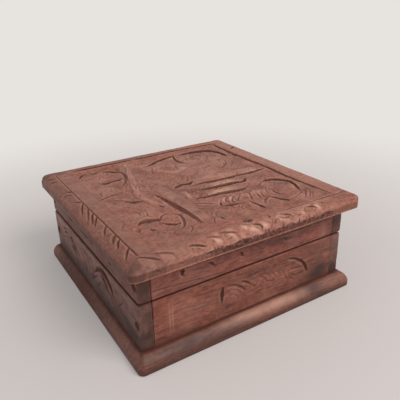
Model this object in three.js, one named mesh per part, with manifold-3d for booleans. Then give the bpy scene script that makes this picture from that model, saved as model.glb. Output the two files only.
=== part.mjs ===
// A small carved wooden box with a hinged lid. The body is a base board and four side boards,
// the lid is a carved top board on four narrow rails, and all of it is nailed. Two brass butt
// hinges are let in at the back, with only their knuckles outside.
// Millimetres, +Z up. The origin is on the table, under the middle of the base board.
// The front is -Y, and the lid turns about the hinge pins at the back.

import * as THREE from "three";
import { mergeVertices } from "three/addons/utils/BufferGeometryUtils.js";
import Module from "manifold-3d";

const wasm = await Module();
wasm.setup();

// Body and lid sides
const BODY_SIDE = 94; // outside of the side boards, square in plan
const WALL_THICKNESS = 5;
const WALL_HEIGHT = 19;
const SEAM_GAP = 0.3; // between body and closed lid
const RAIL_HEIGHT = 11.8;

// Base board
const BASE_THICKNESS = 6.5;
const BASE_OVERHANG = 3.8;
const BASE_LEDGE = 0.2; // flat between the wall's foot and the rounded edge
const BASE_ROUND_DROP = 4.8;
const BASE_CORNER_RADIUS = 2;

// Lid board
const LID_THICKNESS = 5.4;
const LID_OVERHANG = 4.2;
const LID_ROUND_DROP = 3;
const LID_CORNER_RADIUS = 3;
const LOWER_BEVEL = 0.5; // small bevel under the edge of base and lid board

// Incised line that parts the lid's border from its field
const BORDER_INSET = 6.4;
const BORDER_FLAT = 1.2; // from the line's middle to the rounded edge
const BORDER_LINE_WIDTH = 0.9;
const BORDER_LINE_DEPTH = 0.6;

// Gouge cuts of the carving
const LID_CUT_DEPTH = 0.9;
const WALL_CUT_DEPTH = 0.7;
const RAIL_CUT_DEPTH = 0.6;
const RAIL_HOOK_PITCH = 12.7;
const RAIL_HOOK_END_MARGIN = 12;

// Hinges
const HINGE_END_MARGIN = 14; // from the outside of the body to the end of a hinge
const HINGE_LENGTH = 16;
const KNUCKLE_COUNT = 3; // the lid leaf has every second one
const LEAF_LIP = 0.8; // wood left between a leaf and the inside of the wall
const LEAF_THICKNESS = 0.8;
const KNUCKLE_RADIUS = 1.25;
const KNUCKLE_GAP = 0.2;
const KNUCKLE_CLEARANCE = 0.1; // knuckle to the back of the wall
const PIN_RADIUS = 0.6;
const PIN_CLEARANCE = 0.15;
const PIN_END = 0.3; // pin beyond each end of the knuckles
const MORTISE_CLEARANCE = 0.1;

// Nails
const NAIL = { headRadius: 1.2, headDepth: 0.5, shankRadius: 0.6, conical: false };
const HINGE_NAIL = { headRadius: 0.95, headDepth: 0.5, shankRadius: 0.45, conical: true };
const NAIL_SINK = 0.8; // head below the wood
const NAIL_BITE = 8; // into the second board
const LID_NAIL_BITE = 6;
const LID_NAIL_SHIFT = 0.8; // from the rail's middle towards the inside
const HINGE_NAIL_LENGTH = 4.5;
const HINGE_NAIL_END_MARGIN = 3.5; // from the end of the leaf
const NAIL_CLEARANCE = 0.1;
const NAIL_POINT = 1.2;

// How finely curves are stepped
const NAIL_SEGMENTS = 10;
const KNUCKLE_SEGMENTS = 20;
const ROUND_SEGMENTS = 3;
const CORNER_SEGMENTS = 3;
const CUT_STEPS = 7;
const HOOK_STEPS = 4;
const OUTSIDE = 1; // how far a cutting solid stands out of the face it cuts

// Levels and places that follow from the sizes
const BODY_HALF = BODY_SIDE / 2;
const WALL_MIDDLE = BODY_HALF - WALL_THICKNESS / 2;
const BODY_TOP = BASE_THICKNESS + WALL_HEIGHT;
const RAIL_FOOT = BODY_TOP + SEAM_GAP;
const RAIL_TOP = RAIL_FOOT + RAIL_HEIGHT;
const LID_TOP = RAIL_TOP + LID_THICKNESS;
const BASE_SIDE = BODY_SIDE + 2 * BASE_OVERHANG;
const LID_SIDE = BODY_SIDE + 2 * LID_OVERHANG;
const FIELD_HALF = LID_SIDE / 2 - BORDER_INSET;
const HINGE_OFFSET = BODY_HALF - HINGE_END_MARGIN - HINGE_LENGTH / 2;
const KNUCKLE_LENGTH = (HINGE_LENGTH - (KNUCKLE_COUNT - 1) * KNUCKLE_GAP) / KNUCKLE_COUNT;
const PIN_Y = BODY_HALF + KNUCKLE_CLEARANCE + KNUCKLE_RADIUS;
const PIN_Z = BODY_TOP + SEAM_GAP / 2;
const LEAF_WIDTH = WALL_THICKNESS - LEAF_LIP;
const LEAF_MIDDLE_Y = BODY_HALF - LEAF_WIDTH / 2;
const BODY_LEAF_Z = BODY_TOP - LEAF_THICKNESS / 2;
const LID_LEAF_Z = RAIL_FOOT + LEAF_THICKNESS / 2;

// The four sides, each a quarter turn on from the one before. The left and right boards run
// the full depth, and the front and back boards stand between them.
const SIDES = ["front", "right", "back", "left"];
const runsThrough = (side) => side === "left" || side === "right";
const quarterTurns = (side) => SIDES.indexOf(side);

// Carving of the lid's field. A path is [across, to the back], where 1 is the border line.
const LID_CUTS = [
  { width: 1.6, path: [[-0.81, 0.82], [-0.76, 0.89], [-0.64, 0.87], [-0.53, 0.88], [-0.39, 0.72]] },
  { width: 1.7, path: [[-0.68, 0.54], [-0.61, 0.52], [-0.53, 0.53], [-0.4, 0.55]] },
  { width: 2, path: [[-0.85, 0.02], [-0.72, 0], [-0.61, -0.07], [-0.53, -0.14]] },
  { width: 1.8, path: [[-0.33, -0.03], [-0.34, -0.21], [-0.32, -0.52], [-0.31, -0.77]] },
  { width: 2.8, path: [[-0.82, -0.6], [-0.74, -0.53], [-0.66, -0.52], [-0.57, -0.63], [-0.46, -0.71]] },
  { width: 1.3, path: [[-0.5, -0.47], [-0.4, -0.52], [-0.39, -0.62], [-0.43, -0.73], [-0.53, -0.79]] },
  { width: 1.9, path: [[-0.13, -0.01], [-0.05, 0.04], [0.03, 0.02], [0.11, 0.01]] },
  { width: 1.5, path: [[0.09, -0.055], [0.33, -0.075], [0.66, -0.085], [0.94, -0.085]] },
  { width: 1.8, path: [[0.04, -0.22], [0.2, -0.24], [0.39, -0.26], [0.53, -0.27], [0.62, -0.14]] },
  { width: 1.8, path: [[-0.09, -0.39], [0.05, -0.37], [0.2, -0.41], [0.38, -0.44], [0.49, -0.35]] },
  { width: 1.5, path: [[-0.08, 0.69], [0.03, 0.73], [0.14, 0.8], [0.25, 0.85], [0.37, 0.87]] },
  { width: 3.2, path: [[0.42, 0.86], [0.62, 0.87], [0.82, 0.79], [0.91, 0.6], [0.79, 0.44]] },
  { width: 1.3, path: [[0.34, 0.82], [0.31, 0.7], [0.32, 0.6], [0.37, 0.55]] },
  { width: 2.8, path: [[0.66, -0.4], [0.8, -0.38], [0.91, -0.57], [0.84, -0.74], [0.66, -0.81]] },
  { width: 1.7, path: [[0.34, -0.78], [0.41, -0.72], [0.49, -0.71], [0.59, -0.83]] },
  { width: 1.3, path: [[0.28, -0.64], [0.3, -0.74], [0.31, -0.83]] },
  { width: 1.5, path: [[0.01, -0.59], [0.06, -0.58], [0.15, -0.62], [0.23, -0.65]] },
];

// Carving of the body's boards. A path is [along, up], where along is a share of half the body's
// side, to the right as one faces the board, and up is a share of the wall's height.
const FACE_CUTS = [
  { width: 1.3, path: [[-0.27, 0.69], [-0.28, 0.53], [-0.285, 0.37]] },
  { width: 1, path: [[-0.25, 0.69], [-0.17, 0.67], [-0.1, 0.58], [-0.045, 0.42]] },
  { width: 1, path: [[-0.1, 0.69], [-0.05, 0.63], [0, 0.52], [0.03, 0.46]] },
  { width: 1.2, path: [[0, 0.76], [0.03, 0.72], [0.07, 0.75]] },
  { width: 1.5, path: [[0.4, 0.75], [0.47, 0.73], [0.56, 0.6], [0.61, 0.45], [0.625, 0.3]] },
];
const FLANK_CUTS = [
  { width: 2.6, path: [[-0.57, 0.54], [-0.5, 0.68], [-0.41, 0.76], [-0.33, 0.7], [-0.28, 0.58]] },
  { width: 1.2, path: [[-0.22, 0.76], [-0.14, 0.66], [-0.08, 0.5]] },
  { width: 2.6, path: [[0.16, 0.62], [0.25, 0.75], [0.36, 0.8], [0.48, 0.7], [0.56, 0.5]] },
  { width: 1, path: [[-0.74, 0.74], [-0.7, 0.78], [-0.65, 0.81]] },
  { width: 1, path: [[-0.72, 0.62], [-0.67, 0.67], [-0.62, 0.71]] },
];

// One hook cut in a rail, in shares of the hook pitch along and of the rail's height up
const HOOK = { width: 1.5, path: [[-0.08, 0.66], [0.03, 0.58], [0.05, 0.4]] };

const wood = (colour) => new THREE.MeshStandardMaterial({ color: colour, roughness: 0.62, metalness: 0 });
const brass = () => new THREE.MeshStandardMaterial({ color: 0xa98648, roughness: 0.38, metalness: 1 });
const steel = () => new THREE.MeshStandardMaterial({ color: 0x5b5753, roughness: 0.5, metalness: 1 });
const BODY_WOOD = 0x7a4636;
const LID_WOOD = 0x87503d;

// A closed geometry as a solid that can be joined and cut
function solidOf(geometry) {
  const bare = new THREE.BufferGeometry();
  bare.setAttribute("position", geometry.getAttribute("position"));
  bare.setIndex(geometry.getIndex());
  const merged = mergeVertices(bare, 1e-4);
  const vertProperties = merged.getAttribute("position").array;
  const triVerts = new Uint32Array(merged.getIndex().array);
  return new wasm.Manifold(new wasm.Mesh({ numProp: 3, vertProperties, triVerts }));
}

// A solid as a flat-shaded geometry
function geometryOf(solid) {
  const { numProp, vertProperties, triVerts } = solid.getMesh();
  const indexed = new THREE.BufferGeometry();
  const points = new THREE.InterleavedBuffer(vertProperties, numProp);
  indexed.setAttribute("position", new THREE.InterleavedBufferAttribute(points, 3, 0));
  indexed.setIndex(new THREE.BufferAttribute(triVerts, 1));
  const geometry = indexed.toNonIndexed();
  geometry.computeVertexNormals();
  return geometry;
}

function named(name, geometry, material) {
  const mesh = new THREE.Mesh(geometry, material);
  mesh.name = name;
  return mesh;
}

// Straight bar of one cross section, drawn in X and Z and running along Y
function barAlongY(section, length) {
  const settings = { depth: length, bevelEnabled: false, curveSegments: ROUND_SEGMENTS };
  return new THREE.ExtrudeGeometry(section, settings).rotateX(Math.PI / 2).translate(0, length / 2, 0);
}

function roundedSquare(side, radius) {
  const half = side / 2;
  const inner = half - radius;
  const shape = new THREE.Shape();
  shape.absarc(inner, inner, radius, 0, Math.PI / 2);
  shape.absarc(-inner, inner, radius, Math.PI / 2, Math.PI);
  shape.absarc(-inner, -inner, radius, Math.PI, Math.PI * 1.5);
  shape.absarc(inner, -inner, radius, Math.PI * 1.5, Math.PI * 2);
  return shape;
}

// A square board whose upper edge is rounded over by run and drop. The same moulding is worked
// along both directions, so it meets in mitres, and then the corners are rounded in plan.
function mouldedBoard({ side, thickness, run, drop, cornerRadius }) {
  const half = side / 2;
  const fall = Math.min(drop, thickness - LOWER_BEVEL);
  const section = new THREE.Shape();
  section.moveTo(-half + LOWER_BEVEL, 0);
  section.lineTo(half - LOWER_BEVEL, 0);
  section.lineTo(half, LOWER_BEVEL);
  section.absellipse(half - run, thickness - fall, run, fall, 0, Math.PI / 2);
  section.absellipse(-half + run, thickness - fall, run, fall, Math.PI / 2, Math.PI);
  section.lineTo(-half, LOWER_BEVEL);
  const along = solidOf(barAlongY(section, side));
  const across = solidOf(barAlongY(section, side).rotateZ(Math.PI / 2));
  const plan = { depth: thickness, bevelEnabled: false, curveSegments: CORNER_SEGMENTS };
  const outline = new THREE.ExtrudeGeometry(roundedSquare(side, cornerRadius), plan);
  return along.intersect(across).intersect(solidOf(outline));
}

// A cutting solid whose plan is a gouge cut: pointed at both ends, widest in the middle.
// It lies in X and Y and reaches from depth below zero to outside above it.
function gougeCut(path, width, depth, steps) {
  const curve = new THREE.SplineCurve(path.map(([x, y]) => new THREE.Vector2(x, y)));
  const leftBank = [];
  const rightBank = [];
  for (let i = 0; i <= steps; i++) {
    const share = i / steps;
    const point = curve.getPoint(share);
    const tangent = curve.getTangent(share);
    const half = (width / 2) * Math.sin(Math.PI * share);
    leftBank.push(new THREE.Vector2(point.x - tangent.y * half, point.y + tangent.x * half));
    rightBank.unshift(new THREE.Vector2(point.x + tangent.y * half, point.y - tangent.x * half));
  }
  const outline = new THREE.Shape([...leftBank, ...rightBank.slice(1, -1)]);
  const settings = { depth: depth + OUTSIDE, bevelEnabled: false };
  return new THREE.ExtrudeGeometry(outline, settings).translate(0, 0, -depth);
}

// The same cut, stood up against the front face
function frontCut(path, width, depth, steps) {
  return gougeCut(path, width, depth, steps).rotateX(Math.PI / 2).translate(0, -BODY_HALF, 0);
}

function stretched(path, scaleX, scaleY, moveX = 0) {
  return path.map(([x, y]) => [x * scaleX + moveX, y * scaleY]);
}

// A nail lies along Z, with the top of its head at zero and its point below
function nailGeometry(nail, length) {
  const underHead = nail.conical ? [] : [[nail.headRadius, -nail.headDepth]];
  const profile = [
    [0, -length],
    [nail.shankRadius, -length + NAIL_POINT],
    [nail.shankRadius, -nail.headDepth],
    ...underHead,
    [nail.headRadius, 0],
    [0, 0],
  ].map(([x, y]) => new THREE.Vector2(x, y));
  return new THREE.LatheGeometry(profile, NAIL_SEGMENTS).rotateX(Math.PI / 2);
}

// The hole that the nail makes, open above its head
function nailHole(nail, length) {
  const shank = nail.shankRadius + NAIL_CLEARANCE;
  const head = nail.headRadius + NAIL_CLEARANCE;
  const headFoot = nail.conical ? [[head, 0]] : [[head, -nail.headDepth]];
  const profile = [
    [0, -length - NAIL_CLEARANCE],
    [shank, -length - NAIL_CLEARANCE],
    [shank, -nail.headDepth],
    ...headFoot,
    [head, NAIL_SINK + OUTSIDE],
    [0, NAIL_SINK + OUTSIDE],
  ].map(([x, y]) => new THREE.Vector2(x, y));
  return new THREE.LatheGeometry(profile, NAIL_SEGMENTS).rotateX(Math.PI / 2);
}

function nailMesh(name, nail, length, material) {
  const mesh = named(name, nailGeometry(nail, length), material);
  mesh.userData.hole = nailHole(nail, length);
  return mesh;
}

// Makes the holes of these nails in a board or leaf, all of them already placed
function drill(board, nails) {
  const toBoard = board.matrixWorld.clone().invert();
  let solid = solidOf(board.geometry);
  for (const nail of nails) {
    const place = toBoard.clone().multiply(nail.matrixWorld);
    solid = solid.subtract(solidOf(nail.userData.hole.clone().applyMatrix4(place)));
  }
  board.geometry = geometryOf(solid);
}

// Base board
function makeBaseBoard() {
  const board = mouldedBoard({
    side: BASE_SIDE,
    thickness: BASE_THICKNESS,
    run: BASE_OVERHANG - BASE_LEDGE,
    drop: BASE_ROUND_DROP,
    cornerRadius: BASE_CORNER_RADIUS,
  });
  return named("base_board", geometryOf(board), wood(BODY_WOOD));
}

// Lid board, with the incised line round its field and the gouge cuts in it
function makeLidBoard() {
  let board = mouldedBoard({
    side: LID_SIDE,
    thickness: LID_THICKNESS,
    run: BORDER_INSET - BORDER_FLAT,
    drop: LID_ROUND_DROP,
    cornerRadius: LID_CORNER_RADIUS,
  });
  const slope = (BORDER_LINE_WIDTH / 2 / BORDER_LINE_DEPTH) * (BORDER_LINE_DEPTH + OUTSIDE);
  const groove = new THREE.Shape();
  groove.moveTo(0, -BORDER_LINE_DEPTH);
  groove.lineTo(slope, OUTSIDE);
  groove.lineTo(-slope, OUTSIDE);
  const length = 2 * FIELD_HALF + BORDER_LINE_WIDTH;
  for (const side of SIDES) {
    const line = barAlongY(groove, length).translate(FIELD_HALF, 0, LID_THICKNESS);
    board = board.subtract(solidOf(line.rotateZ((quarterTurns(side) * Math.PI) / 2)));
  }
  for (const { path, width } of LID_CUTS) {
    const placed = stretched(path, FIELD_HALF, FIELD_HALF);
    const cut = gougeCut(placed, width, LID_CUT_DEPTH, CUT_STEPS).translate(0, 0, LID_THICKNESS);
    board = board.subtract(solidOf(cut));
  }
  const mesh = named("lid_board", geometryOf(board), wood(LID_WOOD));
  mesh.position.z = RAIL_TOP;
  return mesh;
}

// Side boards are built as the front one, and their group turns them to their side
function sideBoard(name, side, foot, height, cuts, colour) {
  const length = runsThrough(side) ? BODY_SIDE : BODY_SIDE - 2 * WALL_THICKNESS;
  const plank = new THREE.BoxGeometry(length, WALL_THICKNESS, height);
  let board = solidOf(plank.translate(0, -WALL_MIDDLE, height / 2));
  for (const cut of cuts) board = board.subtract(solidOf(cut));
  const mesh = named(name, geometryOf(board), wood(colour));
  mesh.position.z = foot;
  return mesh;
}

function wallCuts(side) {
  const cuts = runsThrough(side) ? FLANK_CUTS : FACE_CUTS;
  return cuts.map(({ path, width }) =>
    frontCut(stretched(path, BODY_HALF, WALL_HEIGHT), width, WALL_CUT_DEPTH, CUT_STEPS),
  );
}

function railCuts() {
  const room = BODY_SIDE - 2 * RAIL_HOOK_END_MARGIN;
  const count = Math.max(1, Math.floor(room / RAIL_HOOK_PITCH) + 1);
  const cuts = [];
  for (let i = 0; i < count; i++) {
    const x = (i - (count - 1) / 2) * RAIL_HOOK_PITCH;
    const path = stretched(HOOK.path, RAIL_HOOK_PITCH, RAIL_HEIGHT, x);
    cuts.push(frontCut(path, HOOK.width, RAIL_CUT_DEPTH, HOOK_STEPS));
  }
  return cuts;
}

// Pockets for the hinge leaves in the top of the back wall, or in the foot of the back rail
function cutMortises(board, leafMiddleZ) {
  const toBoard = board.matrixWorld.clone().invert();
  const length = HINGE_LENGTH + 2 * MORTISE_CLEARANCE;
  const innerY = BODY_HALF - LEAF_WIDTH - MORTISE_CLEARANCE;
  const outerY = BODY_HALF + OUTSIDE;
  const outwards = Math.sign(PIN_Z - leafMiddleZ) * OUTSIDE;
  const bottomZ = leafMiddleZ - LEAF_THICKNESS / 2 + Math.min(0, outwards);
  const topZ = leafMiddleZ + LEAF_THICKNESS / 2 + Math.max(0, outwards);
  let solid = solidOf(board.geometry);
  for (const x of [-HINGE_OFFSET, HINGE_OFFSET]) {
    const pocket = new THREE.BoxGeometry(length, outerY - innerY, topZ - bottomZ);
    pocket.translate(x, (innerY + outerY) / 2, (bottomZ + topZ) / 2);
    solid = solid.subtract(solidOf(pocket.applyMatrix4(toBoard)));
  }
  board.geometry = geometryOf(solid);
}

// Hinge parts are built with the pin along X and the middle of the hinge at x zero
function rod(radius, length, x) {
  const geometry = new THREE.CylinderGeometry(radius, radius, length, KNUCKLE_SEGMENTS);
  return geometry.rotateZ(Math.PI / 2).translate(x, PIN_Y, PIN_Z);
}

// The body leaf has the first knuckle and the lid leaf the second, and so on in turn
function hingeLeaf(name, leafZ, firstKnuckle) {
  const plate = new THREE.BoxGeometry(HINGE_LENGTH, LEAF_WIDTH, LEAF_THICKNESS);
  let leaf = solidOf(plate.translate(0, LEAF_MIDDLE_Y, leafZ));
  for (let index = firstKnuckle; index < KNUCKLE_COUNT; index += 2) {
    const x = (index - (KNUCKLE_COUNT - 1) / 2) * (KNUCKLE_LENGTH + KNUCKLE_GAP);
    const reach = PIN_Y - LEAF_MIDDLE_Y;
    const strap = new THREE.BoxGeometry(KNUCKLE_LENGTH, reach, LEAF_THICKNESS);
    leaf = leaf.add(solidOf(strap.translate(x, PIN_Y - reach / 2, leafZ)));
    leaf = leaf.add(solidOf(rod(KNUCKLE_RADIUS, KNUCKLE_LENGTH, x)));
  }
  leaf = leaf.subtract(solidOf(rod(PIN_RADIUS + PIN_CLEARANCE, HINGE_LENGTH + 2 * OUTSIDE, 0)));
  return named(name, geometryOf(leaf), brass());
}

function makeHingePin(name) {
  return named(name, rod(PIN_RADIUS, HINGE_LENGTH + 2 * PIN_END, 0), brass());
}

function hingeNails(name, z, pointsUp) {
  return ["left", "right"].map((end, i) => {
    const mesh = nailMesh(`${name}_${end}_nail`, HINGE_NAIL, HINGE_NAIL_LENGTH, brass());
    const x = (2 * i - 1) * (HINGE_LENGTH / 2 - HINGE_NAIL_END_MARGIN);
    mesh.position.set(x, LEAF_MIDDLE_Y, z);
    mesh.rotation.x = pointsUp ? Math.PI : 0;
    return mesh;
  });
}

// The two nails near the ends of a through board, into the ends of the boards between.
// The left board's own x axis runs to the front, and the right board's to the back.
function cornerNails(name, side, z) {
  const length = WALL_THICKNESS - NAIL_SINK + NAIL_BITE;
  return [-1, 1].map((end) => {
    const corner = end > 0 === (side === "left") ? "front" : "back";
    const mesh = nailMesh(`${name}_${corner}_nail`, NAIL, length, steel());
    mesh.position.set(end * WALL_MIDDLE, -BODY_HALF + NAIL_SINK, z);
    mesh.rotation.x = Math.PI / 2;
    return mesh;
  });
}

const box = new THREE.Group();
const body = new THREE.Group();
const lid = new THREE.Group();
box.add(body, lid);

const baseBoard = makeBaseBoard();
body.add(baseBoard);
const lidBoard = makeLidBoard();
lid.add(lidBoard);

const walls = {};
const rails = {};
const baseNails = [];
const lidNails = [];
const wallNails = [];
const railNails = [];
for (const side of SIDES) {
  const bodySide = new THREE.Group();
  const lidSide = new THREE.Group();
  bodySide.rotation.z = lidSide.rotation.z = (quarterTurns(side) * Math.PI) / 2;
  body.add(bodySide);
  lid.add(lidSide);

  walls[side] = sideBoard(`${side}_wall`, side, BASE_THICKNESS, WALL_HEIGHT, wallCuts(side), BODY_WOOD);
  rails[side] = sideBoard(`lid_${side}_rail`, side, RAIL_FOOT, RAIL_HEIGHT, railCuts(), LID_WOOD);
  bodySide.add(walls[side]);
  lidSide.add(rails[side]);

  const baseNailLength = BASE_THICKNESS - NAIL_SINK + NAIL_BITE;
  const baseNail = nailMesh(`base_${side}_nail`, NAIL, baseNailLength, steel());
  baseNail.position.set(0, -WALL_MIDDLE, NAIL_SINK);
  baseNail.rotation.x = Math.PI;
  bodySide.add(baseNail);
  baseNails.push(baseNail);

  const lidNailLength = LID_THICKNESS - NAIL_SINK + LID_NAIL_BITE;
  const lidNail = nailMesh(`lid_${side}_nail`, NAIL, lidNailLength, steel());
  lidNail.position.set(0, -WALL_MIDDLE + LID_NAIL_SHIFT, LID_TOP - NAIL_SINK);
  lidSide.add(lidNail);
  lidNails.push(lidNail);

  if (runsThrough(side)) {
    const ofWall = cornerNails(`${side}_wall`, side, BASE_THICKNESS + WALL_HEIGHT / 2);
    const ofRail = cornerNails(`lid_${side}_rail`, side, RAIL_FOOT + RAIL_HEIGHT / 2);
    bodySide.add(...ofWall);
    lidSide.add(...ofRail);
    wallNails.push(...ofWall);
    railNails.push(...ofRail);
  }
}

const bodyLeafNails = [];
const lidLeafNails = [];
const hinges = [];
for (const [place, x] of [["left", -HINGE_OFFSET], ["right", HINGE_OFFSET]]) {
  const ofBody = new THREE.Group();
  const ofLid = new THREE.Group();
  ofBody.position.x = ofLid.position.x = x;
  body.add(ofBody);
  lid.add(ofLid);
  const bodyLeaf = hingeLeaf(`${place}_hinge_body_leaf`, BODY_LEAF_Z, 0);
  const lidLeaf = hingeLeaf(`${place}_hinge_lid_leaf`, LID_LEAF_Z, 1);
  const bodyNails = hingeNails(`${place}_hinge_body`, BODY_TOP, false);
  const lidNailPair = hingeNails(`${place}_hinge_lid`, RAIL_FOOT, true);
  ofBody.add(bodyLeaf, makeHingePin(`${place}_hinge_pin`), ...bodyNails);
  ofLid.add(lidLeaf, ...lidNailPair);
  hinges.push({ bodyLeaf, lidLeaf, bodyNails, lidNails: lidNailPair });
  bodyLeafNails.push(...bodyNails);
  lidLeafNails.push(...lidNailPair);
}

box.updateMatrixWorld(true);
cutMortises(walls.back, BODY_LEAF_Z);
cutMortises(rails.back, LID_LEAF_Z);
drill(baseBoard, baseNails);
drill(lidBoard, lidNails);
for (const side of SIDES) {
  drill(walls[side], [...baseNails, ...wallNails]);
  drill(rails[side], [...lidNails, ...railNails]);
}
drill(walls.back, bodyLeafNails);
drill(rails.back, lidLeafNails);
for (const { bodyLeaf, lidLeaf, bodyNails, lidNails: nails } of hinges) {
  drill(bodyLeaf, bodyNails);
  drill(lidLeaf, nails);
}

export default box;
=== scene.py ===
import math
import bmesh
import bpy
import numpy as np
from mathutils import Matrix, Vector


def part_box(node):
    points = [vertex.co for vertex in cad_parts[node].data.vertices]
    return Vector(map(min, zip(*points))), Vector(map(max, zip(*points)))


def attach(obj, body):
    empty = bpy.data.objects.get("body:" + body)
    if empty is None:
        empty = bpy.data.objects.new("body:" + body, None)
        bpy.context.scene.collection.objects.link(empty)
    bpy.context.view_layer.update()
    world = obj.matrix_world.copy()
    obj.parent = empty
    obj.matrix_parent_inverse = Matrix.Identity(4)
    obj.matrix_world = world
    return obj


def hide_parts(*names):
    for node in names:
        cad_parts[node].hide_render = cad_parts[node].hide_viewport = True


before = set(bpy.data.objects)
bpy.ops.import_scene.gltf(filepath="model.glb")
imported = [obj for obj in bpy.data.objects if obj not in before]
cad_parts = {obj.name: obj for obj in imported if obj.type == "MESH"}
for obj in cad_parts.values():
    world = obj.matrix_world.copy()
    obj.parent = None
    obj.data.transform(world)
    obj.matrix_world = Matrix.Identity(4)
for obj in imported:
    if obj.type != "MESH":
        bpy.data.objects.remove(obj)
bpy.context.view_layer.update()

MM = 0.001
scene = bpy.context.scene
scene.view_settings.view_transform = "Standard"

# The viewpoint: a hand-held camera in front of the box and to its left,
# looking down on the lid, with the frame as wide as it is high.
CAMERA_AZIMUTH = math.radians(-31.54)
CAMERA_ELEVATION = math.radians(23.37)
CAMERA_ROLL = math.radians(-1.54)
CAMERA_DISTANCE = 298.0
CAMERA_AIM = Vector((47.6, 66.5, 0.0))
CAMERA_LENS = 42.28

camera_data = bpy.data.cameras.new("camera")
camera_data.lens = CAMERA_LENS
camera_data.sensor_width = 36.0
camera_data.clip_start = 0.01
camera_data.clip_end = 20.0
camera = bpy.data.objects.new("camera", camera_data)
scene.collection.objects.link(camera)
scene.camera = camera
level = math.cos(CAMERA_ELEVATION)
backwards = Vector((math.sin(CAMERA_AZIMUTH) * level, -math.cos(CAMERA_AZIMUTH) * level,
                    math.sin(CAMERA_ELEVATION)))
sideways = (-backwards).cross(Vector((0, 0, 1))).normalized()
upwards = sideways.cross(-backwards)
roll_cos, roll_sin = math.cos(CAMERA_ROLL), math.sin(CAMERA_ROLL)
turned_side = roll_cos * sideways + roll_sin * upwards
turned_up = roll_cos * upwards - roll_sin * sideways
camera.matrix_world = Matrix.Translation((CAMERA_AIM + backwards * CAMERA_DISTANCE) * MM) @ (
    Matrix((turned_side, turned_up, backwards)).transposed().to_4x4())

# Soft studio light: one large lamp above and to the right of the front, a
# weak one on the left, and a pale room all round that fills the shade.
ROOM_SEEN = (0.80, 0.765, 0.735, 1.0)
ROOM_LIGHT = (1.0, 0.97, 0.965, 1.0)
ROOM_STRENGTH = 0.50


def feed(tree, socket, value):
    """Links another node's socket to this input, or sets it to a number or colour."""
    if isinstance(value, bpy.types.NodeSocket):
        tree.links.new(value, socket)
    else:
        socket.default_value = value


def new_node(tree, kind, inputs=None, **settings):
    """Adds a node with these settings, and feeds its inputs, given by name or number."""
    node = tree.nodes.new(kind)
    for name, value in settings.items():
        setattr(node, name, value)
    for key, value in (inputs or {}).items():
        feed(tree, node.inputs[key], value)
    return node


def mixed(tree, factor, first, second, mode="MIX"):
    """Two colours blended by a factor."""
    return new_node(tree, "ShaderNodeMix", {0: factor, 6: first, 7: second}, data_type="RGBA",
                    blend_type=mode).outputs[2]


def sums(tree, operation, first, second, third=0.0, clamp=False):
    """One step of arithmetic on two or three values."""
    return new_node(tree, "ShaderNodeMath", {0: first, 1: second, 2: third}, operation=operation,
                    use_clamp=clamp).outputs[0]


def seen_directly(tree):
    """1 for rays from the camera or a mirror-like surface, 0 for soft light."""
    ray = new_node(tree, "ShaderNodeLightPath").outputs
    either = sums(tree, "MAXIMUM", ray["Is Camera Ray"], ray["Is Glossy Ray"])
    return sums(tree, "MAXIMUM", either, ray["Is Transmission Ray"])


def blended(tree, factor, first, second, result):
    """Feeds a result socket with two shaders blended by a factor."""
    feed(tree, result, new_node(tree, "ShaderNodeMixShader", {0: factor, 1: first, 2: second}).outputs[0])


room = bpy.data.worlds.new("room")
scene.world = room
room.use_nodes = True
room_tree = room.node_tree
room_tree.nodes.clear()
room_output = new_node(room_tree, "ShaderNodeOutputWorld")
room_soft = new_node(room_tree, "ShaderNodeBackground", {"Color": ROOM_LIGHT, "Strength": ROOM_STRENGTH})
room_seen = new_node(room_tree, "ShaderNodeBackground", {"Color": ROOM_SEEN})
blended(room_tree, seen_directly(room_tree), room_soft.outputs[0], room_seen.outputs[0],
        room_output.inputs["Surface"])


def soft_lamp(name, place, size, power, colour):
    """A square lamp of that size in metres, pointed at the middle of the box."""
    data = bpy.data.lights.new(name, "AREA")
    data.shape = "SQUARE"
    data.size = size
    data.energy = power
    data.color = colour
    lamp = bpy.data.objects.new(name, data)
    lamp.location = place
    lamp.rotation_euler = (Vector((0, 0, 0.02)) - lamp.location).to_track_quat("-Z", "Y").to_euler()
    scene.collection.objects.link(lamp)


soft_lamp("key_lamp", Vector((0.24, -0.66, 0.70)), 0.55, 8.4, (1.0, 0.965, 0.94))
soft_lamp("left_lamp", Vector((-0.90, 0.10, 0.45)), 0.7, 1.6, (0.92, 0.96, 1.0))

# The floor is a pale matt sheet far larger than the box. It looks pale, and
# gives back a little less light than it shows, so that the sides stay in shade.
# Far from the box it passes into the pale of the room.
FLOOR_REACH = 4.0
FLOOR_PALE = (0.50, 0.458, 0.449, 1.0)
FLOOR_FAINT = (0.465, 0.425, 0.417, 1.0)
FLOOR_BOUNCE = (0.37, 0.34, 0.335, 1.0)
# From 0.055 to 0.29 m off the middle, the room's pale takes over from a quarter to all
FLOOR_FADE = (0.055, 0.29, 0.25, 1.0)
FLOOR_CLOUD_SCALE = 9.0


def ranged(tree, value, low, high, to_low=0.0, to_high=1.0):
    """The value spread from one range to another, with a smooth start and end."""
    return new_node(tree, "ShaderNodeMapRange", {0: value, 1: low, 2: high, 3: to_low, 4: to_high},
                    interpolation_type="SMOOTHSTEP").outputs[0]


def new_finish(name, constants):
    """A new material, its node tree and its shader, with these constants on its own sockets."""
    finish = bpy.data.materials.new(name)
    finish.use_nodes = True
    shader = finish.node_tree.nodes["Principled BSDF"]
    for socket, value in constants.items():
        shader.inputs[socket].default_value = value
    return finish, finish.node_tree, shader


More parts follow.
